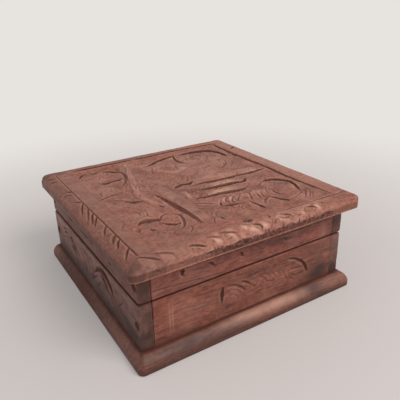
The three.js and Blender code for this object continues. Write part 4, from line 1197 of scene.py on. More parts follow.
# Paths on the lid are shares of half the field, [to the right, to the back]. Three
# kinds of small stroke come often: their widths, depth and lean.
SLIM = (0.6, 0.9, 0.6), 0.3, 0.0
THIN = (0.5, 0.8, 0.5), 0.3, 0.0
FINE = (0.5, 0.7, 0.5), 0.3, 0.0
FIELD_CUTS = [
    # Bud at the back left: its arch and its foot
    ((0.8, 1.3, 1.3), 0.6, 0.4, 0.85, [(-0.80, 0.81), (-0.78, 0.86), (-0.745, 0.90), (-0.72, 0.89)]),
    ((1.0, 1.3, 0.8), 0.6, 0.4, 0.85, [(-0.67, 0.895), (-0.635, 0.87), (-0.58, 0.89), (-0.53, 0.90)]),
    ((1.2, 1.5, 1.7, 1.2), 0.7, 0.5, 0.9,
     [(-0.52, 0.87), (-0.48, 0.84), (-0.43, 0.79), (-0.40, 0.74), (-0.385, 0.73)]),
    ((1.0, 1.8, 1.3, 1.7, 1.2), 0.7, 0.2, 0.95,
     [(-0.69, 0.56), (-0.66, 0.54), (-0.63, 0.515), (-0.58, 0.53), (-0.52, 0.535), (-0.47, 0.55),
      (-0.42, 0.54)]),
    # Strokes left of the stem, and the pits beside it
    ((0.8, 1.3, 1.0), 0.4, 0.3, 0.7, [(-0.85, 0.155), (-0.77, 0.165), (-0.70, 0.19), (-0.67, 0.20)]),
    ((0.7, 0.8, 0.7), 0.3, 0.2, 0.4, [(-0.80, 0.26), (-0.76, 0.29)]),
    ((2.2, 3.0, 1.6), 0.6, 0.4, 0.9, [(-0.65, -0.03), (-0.58, -0.075), (-0.53, -0.10)]),
    ((1.3, 2.0, 1.2), 0.5, 0.0, 0.9, [(-0.445, -0.27), (-0.42, -0.325)]),
    ((1.6, 2.0, 1.6), 0.4, 0.0, 0.85, [(-0.195, 0.12), (-0.18, 0.115)]),
    ((1.3, 1.5, 1.3), 0.3, 0.0, 0.65, [(-0.095, 0.11), (-0.085, 0.11)]),
    ((1.0, 1.2, 1.0), 0.3, 0.0, 0.55, [(-0.155, 0.32), (-0.14, 0.315)]),
    ((0.9, 1.1, 0.9), 0.3, 0.0, 0.50, [(-0.075, 0.53), (-0.065, 0.53)]),
    ((0.9, 1.1, 0.9), 0.3, 0.0, 0.45, [(-0.225, 0.41), (-0.21, 0.41)]),
    ((0.7, 0.8), 0.3, 0.0, 0.4, [(-0.44, 0.22), (-0.445, 0.20)]),
    # Groove beside the stem
    ((0.9, 1.4, 1.9, 1.7, 1.3, 0.8), 0.8, 0.7, 0.70,
     [(-0.355, -0.02), (-0.338, -0.12), (-0.330, -0.24), (-0.318, -0.38), (-0.312, -0.54), (-0.308, -0.79)]),
    # Scroll at the front left
    ((1.2, 2.3, 3.3, 3.6, 2.8), 0.9, 0.6, 0.85,
     [(-0.77, -0.53), (-0.72, -0.485), (-0.67, -0.475), (-0.62, -0.49), (-0.58, -0.525)]),
    # The bud's right end
    ((0.8, 1.3, 1.4, 1.2, 0.8), 0.5, 0.3, 0.55,
     [(-0.40, 0.84), (-0.37, 0.74), (-0.38, 0.60), (-0.44, 0.46), (-0.52, 0.36)]),
    # The scroll's tail, its foot, its loop and the strokes round them
    ((1.6, 1.8, 1.0), 0.4, 0.5, 0.35, [(-0.785, -0.57), (-0.80, -0.61), (-0.82, -0.67)]),
    ((1.1, 2.1, 1.9, 1.3, 1.1), 0.5, 0.2, 0.95,
     [(-0.59, -0.61), (-0.56, -0.64), (-0.52, -0.675), (-0.49, -0.685), (-0.46, -0.69)]),
    ((0.6, 0.7, 0.7, 0.6), 0.35, 0.3, 0.65, [(-0.57, -0.54), (-0.54, -0.49), (-0.48, -0.46), (-0.45, -0.47)]),
    ((0.7, 0.9, 1.1, 1.0, 0.8, 0.6), 0.45, 0.3, 0.70,
     [(-0.43, -0.48), (-0.39, -0.54), (-0.40, -0.62), (-0.43, -0.70), (-0.47, -0.76), (-0.52, -0.79)]),
    ((1.7, 2.8, 1.8), 0.45, 0.2, 0.75, [(-0.72, -0.655), (-0.69, -0.695)]),
    ((0.5, 0.8, 0.6), 0.35, 0.2, 0.6, [(-0.41, -0.77), (-0.43, -0.83), (-0.48, -0.88)]),
    ((0.6, 1.1, 0.8), 0.4, 0.2, 0.75, [(-0.15, -0.75), (-0.13, -0.79), (-0.12, -0.84)]),
    ((0.5, 0.7), 0.3, 0.0, 0.6, [(-0.19, -0.78), (-0.23, -0.84)]),
    # Brow in the middle, and the three-fingered leaf below it
    ((1.2, 2.1, 1.9, 1.3, 1.9, 1.4), 0.7, 0.4, 1.0,
     [(-0.125, 0.01), (-0.07, 0.045), (-0.02, 0.055), (0.02, 0.042), (0.06, 0.04), (0.10, 0.055)]),
    ((1.0, 1.8, 1.9, 2.0, 1.8, 1.0), 0.75, 0.2, 1.0,
     [(0.05, -0.032), (0.18, -0.03), (0.30, -0.043), (0.42, -0.052), (0.59, -0.06), (0.75, -0.066),
      (0.93, -0.055)]),
    ((0.8, 1.7, 2.2, 2.3, 2.0, 1.3), 0.75, 0.2, 1.0,
     [(0.015, -0.14), (0.075, -0.175), (0.145, -0.19), (0.305, -0.20), (0.425, -0.21), (0.515, -0.23),
      (0.585, -0.18)]),
    ((1.3, 2.3, 1.9, 2.0, 1.8, 1.1), 0.75, 0.2, 0.95,
     [(-0.11, -0.347), (-0.005, -0.337), (0.085, -0.353), (0.195, -0.367), (0.305, -0.39),
      (0.385, -0.395), (0.455, -0.375)]),
    ((0.7, 0.8, 0.7), 0.3, 0.0, 0.5, [(0.46, -0.38), (0.49, -0.34)]),
    # Curl at the front right, the strokes in it and the small curl beside it
    ((1.3, 2.2, 2.3, 1.8, 1.2, 1.2, 0.9), 0.8, 0.8, 1.0,
     [(0.665, -0.342), (0.74, -0.327), (0.81, -0.342), (0.865, -0.407), (0.895, -0.507),
      (0.875, -0.607), (0.825, -0.71)]),
    ((0.6, 0.8, 0.6), 0.35, 0.2, 0.4, [(0.81, -0.76), (0.68, -0.82), (0.58, -0.835)]),
    ((0.8, 1.0, 0.9), 0.4, 0.2, 0.85, [(0.61, -0.56), (0.60, -0.62), (0.60, -0.68), (0.64, -0.725)]),
    ((0.8, 1.3, 1.7, 2.1), 0.6, 0.4, 0.95, [(0.48, -0.66), (0.51, -0.72), (0.53, -0.77), (0.575, -0.84)]),
    ((0.7, 0.9, 1.0, 0.7), 0.4, 0.3, 0.6, [(0.37, -0.765), (0.395, -0.72), (0.43, -0.70), (0.465, -0.68)]),
    ((0.6, 1.2, 1.0, 1.4, 0.9), 0.55, 0.2, 0.95,
     [(0.27, -0.66), (0.28, -0.73), (0.29, -0.79), (0.29, -0.87)]),
    ((0.5, 0.8, 0.5), 0.35, 0.2, 0.65, [(0.43, -0.54), (0.42, -0.60), (0.40, -0.66)]),
    ((0.5, 0.8, 0.5), 0.35, 0.2, 0.6, [(0.48, -0.56), (0.455, -0.62), (0.45, -0.67)]),
    ((0.5, 0.7, 0.5), 0.3, 0.2, 0.5, [(0.60, -0.48), (0.55, -0.55), (0.53, -0.62)]),
    ((0.5, 0.7, 0.5), 0.3, 0.2, 0.55, [(0.86, -0.72), (0.90, -0.715), (0.89, -0.76)]),
    ((0.5, 0.7, 0.5), 0.3, 0.2, 0.55, [(0.85, -0.76), (0.81, -0.81), (0.74, -0.88)]),
    ((0.5, 0.7, 0.5), 0.3, 0.2, 0.55, [(0.90, -0.75), (0.86, -0.82), (0.79, -0.88)]),
    ((0.4, 0.6, 0.4), 0.3, 0.2, 0.45, [(0.90, -0.81), (0.86, -0.85), (0.81, -0.90)]),
    ((0.8, 1.2, 0.8), 0.5, 0.0, 0.85, [(0.0, -0.60), (0.02, -0.57), (0.04, -0.53)]),
    ((1.2, 1.4, 1.3, 0.8), 0.5, 0.3, 0.85, [(0.02, -0.60), (0.08, -0.63), (0.12, -0.64), (0.20, -0.66)]),
    ((0.8, 0.9), 0.3, 0.0, 0.5, [(0.165, -0.79), (0.175, -0.79)]),
    # Long brow at the back, the stroke down from it and the big crescent
    ((0.9, 1.5, 1.8, 2.2, 2.2, 1.5), 0.75, 0.4, 0.95,
     [(-0.09, 0.735), (0.0, 0.775), (0.06, 0.815), (0.12, 0.85), (0.24, 0.885), (0.35, 0.90)]),
    ((1.0, 1.3, 1.6, 1.4, 0.8), 0.6, 0.0, 0.9,
     [(0.34, 0.88), (0.305, 0.78), (0.30, 0.70), (0.305, 0.65), (0.33, 0.60), (0.365, 0.57)]),
    ((1.3, 2.0, 3.0, 3.2, 2.8, 2.2, 2.0, 1.6), 0.9, 0.9, 1.0,
     [(0.42, 0.885), (0.54, 0.91), (0.65, 0.905), (0.75, 0.885), (0.81, 0.84), (0.86, 0.74),
      (0.87, 0.65), (0.86, 0.55)]),
    ((0.8, 1.0, 0.8, 0.7), 0.35, 0.2, 0.4, [(0.68, 0.31), (0.62, 0.25), (0.55, 0.22), (0.45, 0.20)]),
    ((0.7, 0.8, 0.7), 0.3, 0.2, 0.45, [(0.25, 0.38), (0.35, 0.38), (0.42, 0.40)]),
    ((0.8, 1.0), 0.4, 0.0, 0.7, [(0.47, 0.66), (0.49, 0.62)]),
    ((0.7, 0.8), 0.3, 0.0, 0.6, [(0.55, 0.66), (0.55, 0.65)]),
    ((0.7, 0.8), 0.3, 0.0, 0.5, [(0.56, 0.44), (0.565, 0.43)]),
    ((0.7, 0.8), 0.3, 0.0, 0.4, [(0.17, 0.33), (0.175, 0.32)]),
]
# Raised parts left standing in the field: (width, how pale their tops are worn, path)
FIELD_RIDGES = [
    (5.4, 0.12, [(-0.92, -1.15), (-0.92, 0.0), (-0.92, 1.15)]),
    (2.8, 0.25, [(-0.22, 0.98), (-0.31, 0.72), (-0.36, 0.50), (-0.45, 0.22), (-0.50, 0.0), (-0.44, -0.30)]),
    (5.2, 0.12, [(-0.26, 0.16), (-0.25, -0.30), (-0.265, -0.84)]),
    (2.0, 0.55, [(-0.12, -0.09), (-0.12, -0.20), (-0.14, -0.34)]),
    (4.6, 0.50, [(0.10, -0.145), (0.30, -0.155), (0.55, -0.17)]),
    (4.6, 0.50, [(0.0, -0.31), (0.20, -0.325), (0.45, -0.34)]),
    (4.5, 0.25, [(0.05, 0.07), (0.50, 0.03), (0.90, 0.0)]),
    (3.0, 0.30, [(0.0, -0.48), (0.20, -0.52), (0.40, -0.54), (0.50, -0.48)]),
    (8.0, 0.30, [(0.66, 0.66), (0.70, 0.64)]),
    (7.0, 0.35, [(0.70, -0.60), (0.72, -0.62)]),
    (5.0, 0.25, [(-0.60, 0.72), (-0.55, 0.72)]),
    (4.0, 0.20, [(-0.49, -0.62), (-0.48, -0.64)]),
    (3.0, 0.30, [(0.30, 0.50), (0.10, 0.40), (-0.05, 0.55), (0.05, 0.70)]),
]
# Small loose strokes of the field, between the large ones
FIELD_STROKES = [
    (*SLIM, 0.45, [(0.22, -0.50), (0.19, -0.55), (0.17, -0.60)]),
    (*SLIM, 0.45, [(0.15, -0.49), (0.12, -0.54), (0.10, -0.60)]),
    (*SLIM, 0.40, [(0.07, -0.49), (0.04, -0.54)]),
    ((0.7, 0.9, 0.7), 0.3, 0.0, 0.50, [(0.16, -0.78), (0.18, -0.82), (0.20, -0.85)]),
    ((0.6, 0.8, 0.6), 0.3, 0.0, 0.35, [(0.24, -0.93), (0.20, -0.86)]),
    (*FINE, 0.55, [(0.0, -0.10), (-0.03, -0.15), (-0.08, -0.24)]),
    (*FINE, 0.45, [(0.03, -0.11), (0.0, -0.17), (-0.03, -0.22)]),
    ((0.7, 0.9, 0.6), 0.3, 0.0, 0.50, [(-0.08, -0.10), (-0.06, -0.14), (-0.08, -0.17)]),
    (*FINE, 0.40, [(-0.13, -0.06), (-0.12, -0.14), (-0.13, -0.22)]),
    (*FINE, 0.45, [(-0.12, -0.46), (-0.07, -0.49), (-0.02, -0.53)]),
    (*FINE, 0.40, [(-0.12, -0.50), (-0.08, -0.54), (-0.05, -0.57)]),
    (*FINE, 0.35, [(-0.13, -0.55), (-0.09, -0.60)]),
    ((0.7, 1.0, 0.7), 0.3, 0.0, 0.50, [(-0.60, -0.80), (-0.58, -0.86)]),
    (*SLIM, 0.40, [(-0.60, -0.46), (-0.62, -0.40), (-0.60, -0.34)]),
    (*SLIM, 0.40, [(-0.70, -0.25), (-0.66, -0.30), (-0.68, -0.38)]),
    (*SLIM, 0.35, [(-0.92, -0.55), (-0.88, -0.48), (-0.84, -0.44)]),
    (*SLIM, 0.45, [(-0.46, 0.18), (-0.43, 0.24), (-0.40, 0.28)]),
    (*SLIM, 0.45, [(-0.52, 0.12), (-0.48, 0.18)]),
    ((0.5, 0.8, 0.6), 0.3, 0.0, 0.40, [(-0.54, 0.23), (-0.50, 0.32), (-0.45, 0.40)]),
    ((0.6, 0.9, 0.6), 0.3, 0.3, 0.45, [(-0.28, 0.86), (-0.31, 0.76), (-0.35, 0.66)]),
    ((0.6, 0.9, 0.6), 0.3, 0.3, 0.45, [(-0.40, 0.58), (-0.44, 0.46), (-0.47, 0.36)]),
    (*THIN, 0.40, [(-0.06, 0.62), (-0.10, 0.54), (-0.12, 0.46)]),
    (*SLIM, 0.40, [(-0.04, 0.92), (-0.08, 0.84)]),
    (*SLIM, 0.45, [(-0.10, 0.36), (-0.16, 0.30)]),
    (*SLIM, 0.45, [(0.52, 0.80), (0.49, 0.74), (0.48, 0.68)]),
    (*THIN, 0.35, [(0.44, 0.80), (0.42, 0.72), (0.42, 0.62)]),
    (*SLIM, 0.35, [(0.66, 0.66), (0.62, 0.58), (0.56, 0.53)]),
    (*SLIM, 0.45, [(0.70, 0.38), (0.66, 0.30), (0.60, 0.24)]),
    (*SLIM, 0.45, [(0.80, 0.36), (0.76, 0.29), (0.70, 0.23)]),
    (*THIN, 0.35, [(0.88, 0.40), (0.85, 0.32), (0.80, 0.25)]),
    (*SLIM, 0.40, [(0.14, 0.22), (0.10, 0.15), (0.06, 0.10)]),
    (*SLIM, 0.35, [(0.30, 0.24), (0.24, 0.20)]),
    (*SLIM, 0.35, [(0.22, 0.62), (0.18, 0.52), (0.17, 0.44)]),
    (*SLIM, 0.45, [(0.78, -0.20), (0.73, -0.24), (0.66, -0.25)]),
    (*SLIM, 0.35, [(0.82, -0.14), (0.80, -0.22), (0.82, -0.30)]),
    (*SLIM, 0.35, [(0.47, -0.90), (0.56, -0.91), (0.64, -0.89)]),
    (*THIN, 0.55, [(-0.42, 0.37), (-0.42, 0.27), (-0.36, 0.23)]),
    (*THIN, 0.55, [(-0.43, 0.15), (-0.38, 0.08), (-0.29, 0.08)]),
    ((0.5, 0.9, 0.8), 0.3, 0.0, 0.60, [(-0.84, 0.10), (-0.71, 0.05), (-0.64, -0.03)]),
    ((0.5, 0.8, 0.6), 0.3, 0.3, 0.55, [(0.49, 0.73), (0.58, 0.755), (0.62, 0.70)]),
    ((0.5, 0.8), 0.3, 0.0, 0.55, [(0.36, 0.69), (0.45, 0.73)]),
    ((0.5, 0.8, 0.8, 0.6), 0.35, 0.4, 0.60, [(0.50, 0.26), (0.59, 0.26), (0.69, 0.31), (0.74, 0.41)]),
    ((0.5, 0.8, 0.6), 0.3, 0.3, 0.55, [(0.31, 0.34), (0.43, 0.34), (0.53, 0.37)]),
    ((0.5, 0.8, 0.6), 0.3, 0.3, 0.50, [(0.16, 0.22), (0.25, 0.24), (0.31, 0.28)]),
    ((0.6, 0.9, 0.6), 0.35, 0.3, 0.55, [(0.50, -0.40), (0.58, -0.40), (0.65, -0.35)]),
    ((0.5, 0.8, 0.6), 0.35, 0.4, 0.75, [(0.16, -0.48), (0.10, -0.53), (0.11, -0.57)]),
    ((0.5, 0.8, 0.6), 0.35, 0.4, 0.75, [(0.21, -0.50), (0.15, -0.56), (0.15, -0.60)]),
    ((0.5, 0.8, 0.6), 0.35, 0.4, 0.70, [(0.27, -0.51), (0.20, -0.58), (0.21, -0.62)]),
    ((0.5, 0.8, 0.6), 0.35, 0.4, 0.60, [(0.34, -0.47), (0.36, -0.54), (0.32, -0.64)]),
    ((0.5, 0.8), 0.3, 0.0, 0.60, [(-0.05, -0.63), (0.0, -0.62)]),
    ((0.6, 0.8), 0.3, 0.0, 0.60, [(-0.13, -0.68), (-0.08, -0.68)]),
    ((0.5, 0.7), 0.3, 0.0, 0.55, [(-0.16, -0.38), (-0.08, -0.38)]),
    ((0.5, 0.8), 0.3, 0.0, 0.65, [(-0.27, -0.57), (-0.22, -0.61)]),
    ((0.5, 0.8), 0.3, 0.0, 0.55, [(-0.17, -0.47), (-0.07, -0.55)]),
    ((0.5, 0.8, 0.4), 0.3, 0.0, 0.65, [(-0.18, -0.41), (-0.08, -0.46), (0.0, -0.53)]),
    ((0.5, 0.8, 0.4), 0.3, 0.0, 0.65, [(-0.19, -0.46), (-0.11, -0.52), (-0.05, -0.58)]),
    ((0.5, 0.8, 0.4), 0.3, 0.0, 0.60, [(-0.21, -0.51), (-0.15, -0.57), (-0.11, -0.62)]),
]


def fan(centre, inner, outer, first, last, count, darkness, seed):
    """Fine strokes spread round a centre between two angles in degrees, each cut a bit differently."""
    dice = np.random.default_rng(seed)
    strokes = []
    for angle in np.linspace(first, last, count):
        start, end = inner + dice.uniform(0, 0.03), outer - dice.uniform(0, 0.06)
        bend = math.radians(dice.uniform(6, 16))
        spots = []
        for share in (0, 0.5, 1):
            turn = math.radians(angle) + bend * share + math.radians(dice.uniform(-2, 2))
            reach = start + (end - start) * share
            spots.append((centre[0] + reach * math.cos(turn), centre[1] + reach * math.sin(turn)))
        strokes.append(((0.4, 0.7, 0.4), 0.3, 0.3, darkness * dice.uniform(0.6, 1.0), spots))
    return strokes


def nick(dice, x, y, turns, halves, end_width, widths, depths, lean, darks):
    """A short stroke about a point, its turn and sizes thrown between the given bounds."""
    turn, half = math.radians(dice.uniform(*turns)), dice.uniform(*halves)
    off_x, off_y = half * math.cos(turn), half * math.sin(turn)
    return ((end_width, dice.uniform(*widths), end_width), dice.uniform(*depths), lean,
            dice.uniform(*darks), [(x - off_x, y - off_y), (x + off_x, y + off_y)])


def chips(count, seed):
    """Short loose nicks of the gouge, scattered over the field."""
    dice = np.random.default_rng(seed)
    return [nick(dice, *dice.uniform(-0.84, 0.90, 2), (20, 110), (0.012, 0.032), 0.4, (0.5, 0.9),
                 (0.15, 0.35), 0.3, (0.15, 0.55)) for _ in range(count)]


# Fans of fine strokes: in the crescents, the bud and the leaf, and one beside each petal
FIELD_FANS = (fan((0.63, 0.62), 0.29, 0.38, -70, -20, 9, 0.45, 402)
              + fan((0.68, -0.60), 0.03, 0.12, 60, 200, 6, 0.30, 403)
              + fan((-0.60, 0.72), 0.05, 0.14, -60, 200, 8, 0.25, 404)
              + fan((-0.02, -0.62), 0.10, 0.20, 200, 320, 8, 0.35, 405)
              + fan((0.16, -0.22), 0.10, 0.28, 130, 215, 12, 0.55, 406)
              + fan((0.30, -0.55), 0.04, 0.16, 20, 150, 8, 0.45, 407)
              + fan((0.62, 0.62), 0.06, 0.20, 150, 260, 8, 0.40, 408))
for number, place in enumerate((-0.40, -0.27, -0.10, 0.06, 0.25, 0.44, 0.62, 0.76)):
    FIELD_FANS += fan((place - 0.03, -1.115), 0.01, 0.075, 5, 75, 5, 0.55, 420 + number)
BORDER_CUTS = [
    # Nicks of the left border, from the back to the front
    ((1.0, 1.6, 1.1), 0.6, 0.0, 1.0, [(-1.085, 0.985), (-1.035, 0.945)]),
    ((1.0, 1.6, 1.1), 0.6, 0.0, 0.85, [(-1.085, 0.875), (-1.03, 0.845)]),
    ((0.5, 0.8, 0.5), 0.4, 0.0, 0.6, [(-0.995, 0.68), (-0.99, 0.64)]),
    ((0.7, 1.2, 0.8), 0.5, 0.0, 0.95, [(-1.04, 0.52), (-0.985, 0.45)]),
    ((0.7, 1.0, 0.7), 0.5, 0.0, 0.95, [(-1.065, 0.445), (-1.0, 0.395)]),
    ((0.7, 1.0, 0.7), 0.5, 0.0, 0.9, [(-1.055, 0.24), (-1.0, 0.17)]),
    ((0.5, 0.7, 0.6, 0.5), 0.5, 0.3, 0.85, [(-0.99, 0.16), (-1.015, 0.11), (-1.045, 0.04), (-1.075, -0.05)]),
    ((0.5, 0.7, 0.6, 0.5), 0.5, 0.3, 0.80, [(-0.995, 0.02), (-1.02, -0.05), (-1.045, -0.12), (-1.07, -0.19)]),
    ((0.5, 0.8, 0.7, 0.5), 0.5, 0.3, 0.85, [(-0.99, -0.10), (-1.02, -0.15), (-1.045, -0.22), (-1.07, -0.29)]),
    ((0.5, 0.8, 0.7, 0.5), 0.5, 0.3, 0.85, [(-0.99, -0.19), (-1.02, -0.24), (-1.045, -0.29), (-1.07, -0.34)]),
    ((0.5, 0.8, 0.7, 0.5), 0.5, 0.3, 0.90, [(-0.99, -0.40), (-1.015, -0.44), (-1.04, -0.48), (-1.06, -0.54)]),
    ((0.7, 1.2, 1.0, 0.5), 0.5, 0.3, 0.75, [(-0.99, -0.59), (-1.015, -0.62), (-1.04, -0.66), (-1.06, -0.70)]),
    ((0.5, 0.9, 0.7, 0.5), 0.5, 0.3, 0.90,
     [(-0.995, -0.68), (-1.02, -0.71), (-1.045, -0.76), (-1.06, -0.80)]),
    ((0.6, 0.9, 0.7, 0.5), 0.5, 0.3, 0.90,
     [(-0.99, -0.84), (-1.02, -0.88), (-1.045, -0.92), (-1.075, -0.97)]),
    # Nicks of the front border, from the left to the right
    ((0.5, 0.8, 0.8, 0.6), 0.45, 0.5, 0.95,
     [(-1.0, -1.01), (-0.955, -1.035), (-0.915, -1.06), (-0.88, -1.087), (-0.865, -1.102)]),
    ((0.6, 0.8, 0.8), 0.4, 0.5, 0.70, [(-0.88, -1.02), (-0.815, -1.043), (-0.78, -1.06), (-0.745, -1.087)]),
    ((0.6, 0.9, 0.9, 0.6), 0.5, 0.3, 1.00,
     [(-0.61, -1.063), (-0.565, -1.069), (-0.53, -1.085), (-0.50, -1.105), (-0.485, -1.115)]),
    ((0.6, 0.8, 0.5), 0.3, 0.0, 0.60, [(-0.595, -1.095), (-0.60, -1.112)]),
    ((0.7, 1.0, 0.7), 0.4, 0.5, 0.60, [(-0.42, -1.03), (-0.37, -1.049), (-0.34, -1.07)]),
    ((0.8, 1.1, 0.8, 0.6), 0.4, 0.5, 0.75,
     [(-0.30, -1.036), (-0.245, -1.049), (-0.20, -1.066), (-0.18, -1.085)]),
    ((0.6, 0.9, 0.8, 0.5), 0.45, 0.3, 1.00,
     [(0.0, -1.043), (0.045, -1.072), (0.055, -1.10), (0.04, -1.125)]),
    ((0.7, 0.8), 0.35, 0.0, 0.90, [(0.20, -1.0), (0.19, -1.036)]),
    ((0.6, 0.7), 0.3, 0.0, 0.75, [(0.22, -1.045), (0.235, -1.055)]),
    ((0.4, 0.4, 0.4), 0.3, 0.0, 0.50, [(0.20, -1.055), (0.18, -1.08), (0.165, -1.105)]),
    ((0.4, 0.4, 0.4), 0.3, 0.0, 0.50, [(0.225, -1.065), (0.205, -1.09), (0.19, -1.11)]),
    ((0.4, 0.4, 0.4), 0.3, 0.0, 0.50, [(0.25, -1.075), (0.235, -1.095)]),
    ((0.5, 0.8, 0.8, 0.5), 0.4, 0.3, 0.65,
     [(0.265, -1.045), (0.275, -1.068), (0.30, -1.088), (0.335, -1.094), (0.36, -1.085)]),
    ((0.8, 0.7), 0.3, 0.0, 0.85, [(0.29, -1.034), (0.315, -1.038)]),
    ((0.5, 0.8, 0.8, 0.5), 0.45, 0.5, 0.90,
     [(0.325, -1.04), (0.355, -1.055), (0.38, -1.075), (0.385, -1.10)]),
    ((0.5, 0.7, 0.5), 0.35, 0.4, 0.55, [(0.44, -1.04), (0.48, -1.06), (0.50, -1.085)]),
    ((0.9, 1.1, 0.8, 0.6), 0.45, 0.3, 1.00,
     [(0.595, -1.045), (0.62, -1.055), (0.65, -1.075), (0.67, -1.105)]),
    ((0.4, 0.7, 0.5), 0.3, 0.3, 0.60, [(0.56, -1.06), (0.54, -1.08), (0.55, -1.10)]),
    ((0.5, 0.8, 0.5), 0.35, 0.4, 0.60, [(0.74, -1.04), (0.78, -1.06), (0.80, -1.085)]),
    ((0.8, 0.8), 0.3, 0.0, 0.75, [(1.04, -1.045), (1.055, -1.052)]),
    ((0.5, 0.6, 0.4), 0.3, 0.0, 0.60, [(0.96, -1.04), (0.975, -1.07), (0.985, -1.09)]),
    # Nicks of the right border, the last of them a sunk nail's
    ((1.0, 1.2, 0.8), 0.4, 0.0, 0.7, [(1.065, -0.44), (1.10, -0.46)]),
    ((0.9, 1.1), 0.3, 0.0, 0.4, [(1.06, -0.65), (1.08, -0.66)]),
    ((2.2, 3.0, 2.2), 0.6, 0.0, 0.95, [(1.05, 0.71), (1.095, 0.745)]),
    # Incised lines round the field: left, right, back and front
    ((0.5, 0.6, 0.7, 0.7), 0.4, 0.0, 0.7,
     [(-0.99, 1.0), (-0.99, 0.3), (-0.99, -0.3), (-0.99, -0.9), (-0.99, -0.99)]),
    ((0.9, 1.4, 1.3, 1.2, 0.9, 0.6), 0.5, 0.0, 0.85,
     [(0.972, 0.98), (0.955, 0.70), (0.958, 0.30), (0.966, 0.0), (0.958, -0.40), (0.968, -0.70),
      (0.978, -0.99)]),
    ((1.3, 2.1, 2.2, 2.2, 1.6), 0.7, 0.0, 1.0, [(-0.80, 1.04), (-0.50, 1.035), (-0.20, 1.03), (-0.13, 1.03)]),
    ((1.5, 2.1, 2.2, 2.1, 1.3), 0.7, 0.0, 1.0,
     [(-0.10, 1.03), (0.09, 1.02), (0.33, 1.04), (0.50, 1.04), (0.74, 1.02), (0.97, 1.0)]),
    ((0.5, 0.8, 0.8, 0.6), 0.4, 0.0, 0.8, [(0.68, -1.0), (0.80, -0.997), (1.0, -1.0), (1.08, -1.0)]),
    ((0.8, 1.1, 0.8), 0.2, 0.0, 0.4, [(0.38, -1.0), (0.50, -1.0), (0.64, -1.0)]),
]
# Petals along the front border: [place to the right and to the back], half
# length and half width in millimetres, and how pale each is worn
BORDER_PETALS = [(-0.962, -1.080, 3.2, 1.9, 0.35), (-0.816, -1.100, 3.2, 1.6, 0.20),
                 (-0.651, -1.090, 3.0, 1.6, 0.15), (-0.387, -1.095, 2.6, 1.5, 0.60),
                 (-0.247, -1.095, 3.2, 1.6, 0.75), (-0.065, -1.081, 3.2, 2.0, 1.00),
                 (0.093, -1.083, 2.4, 1.8, 0.85), (0.281, -1.088, 3.4, 1.9, 0.75),
                 (0.474, -1.081, 2.6, 1.7, 0.85), (0.670, -1.085, 2.2, 1.6, 0.70)]
# The nibbled band along the front edge: one nick after another, [to the right,
# above the underside], cut with the corner of the gouge.
EDGE_CUTS = [((0.5, 0.8, 0.5), 0.35, 0.0, 0.8, [(-19.0, 2.9), (-20.6, 2.4), (-23.0, 1.9)]),
             ((0.8, 1.2, 0.8), 0.3, 0.0, 0.55, [(-42.0, 2.2), (-40.0, 1.8)]),
             ((0.8, 1.2, 0.8), 0.3, 0.0, 0.45, [(-33.0, 2.0), (-31.5, 1.6)])]
edge_dice = np.random.default_rng(77)
for edge_place in np.arange(-21.0, 36.5, 0.62):
    place_a, place_c = edge_place + edge_dice.uniform(-0.5, 0.5), edge_dice.uniform(0.7, 3.3)
    EDGE_CUTS.append(nick(edge_dice, place_a, place_c, (15, 140), (0.3, 0.8), 0.5, (0.7, 1.4),
                          (0.2, 0.45), 0.0, (0.5, 1.0)))

# Soft patches of the lid, in shares of half the field: (place, place, reaches, strength); among the stains is
# painted shade inside the big crescent and the curl at the front right
LID_STAINS_AND_SHADE = [(0.62, 0.74, 0.10, 0.09, 0.25), (-0.45, 0.70, 0.14, 0.2, 0.12), (0.78, -0.48, 0.07, 0.06, 0.22),
              (-0.6, -0.85, 0.25, 0.1, 0.08), (0.10, -0.62, 0.09, 0.035, 0.45),
              (-0.62, -0.12, 0.07, 0.05, 0.25), (0.72, 0.86, 0.10, 0.05, 0.35),
              (-0.68, -0.55, 0.08, 0.05, 0.30), (-1.06, -1.10, 0.06, 0.05, 0.35),
              (0.95, -1.05, 0.12, 0.05, 0.15), (-0.20, -0.40, 0.10, 0.40, 0.28),
              (0.80, -0.47, 0.06, 0.09, 0.30), (0.70, 0.84, 0.14, 0.04, 0.30),
              (-0.69, -0.57, 0.07, 0.05, 0.30)]
LID_DUST = [(-0.74, -1.07, 0.24, 0.07, 0.26), (-0.96, -1.06, 0.08, 0.06, 0.15)]
LID_WORN = [(0.45, 0.45, 0.40, 0.30, 0.20)]
# The lid's four nails, and how far the wood over each has been broken open
LID_NAILS = [((0, -LID_NAIL_LINE), 1.0), ((LID_NAIL_LINE, 0), 0.2), ((0, LID_NAIL_LINE), 0.2),
             ((-LID_NAIL_LINE, 0), 0.2)]


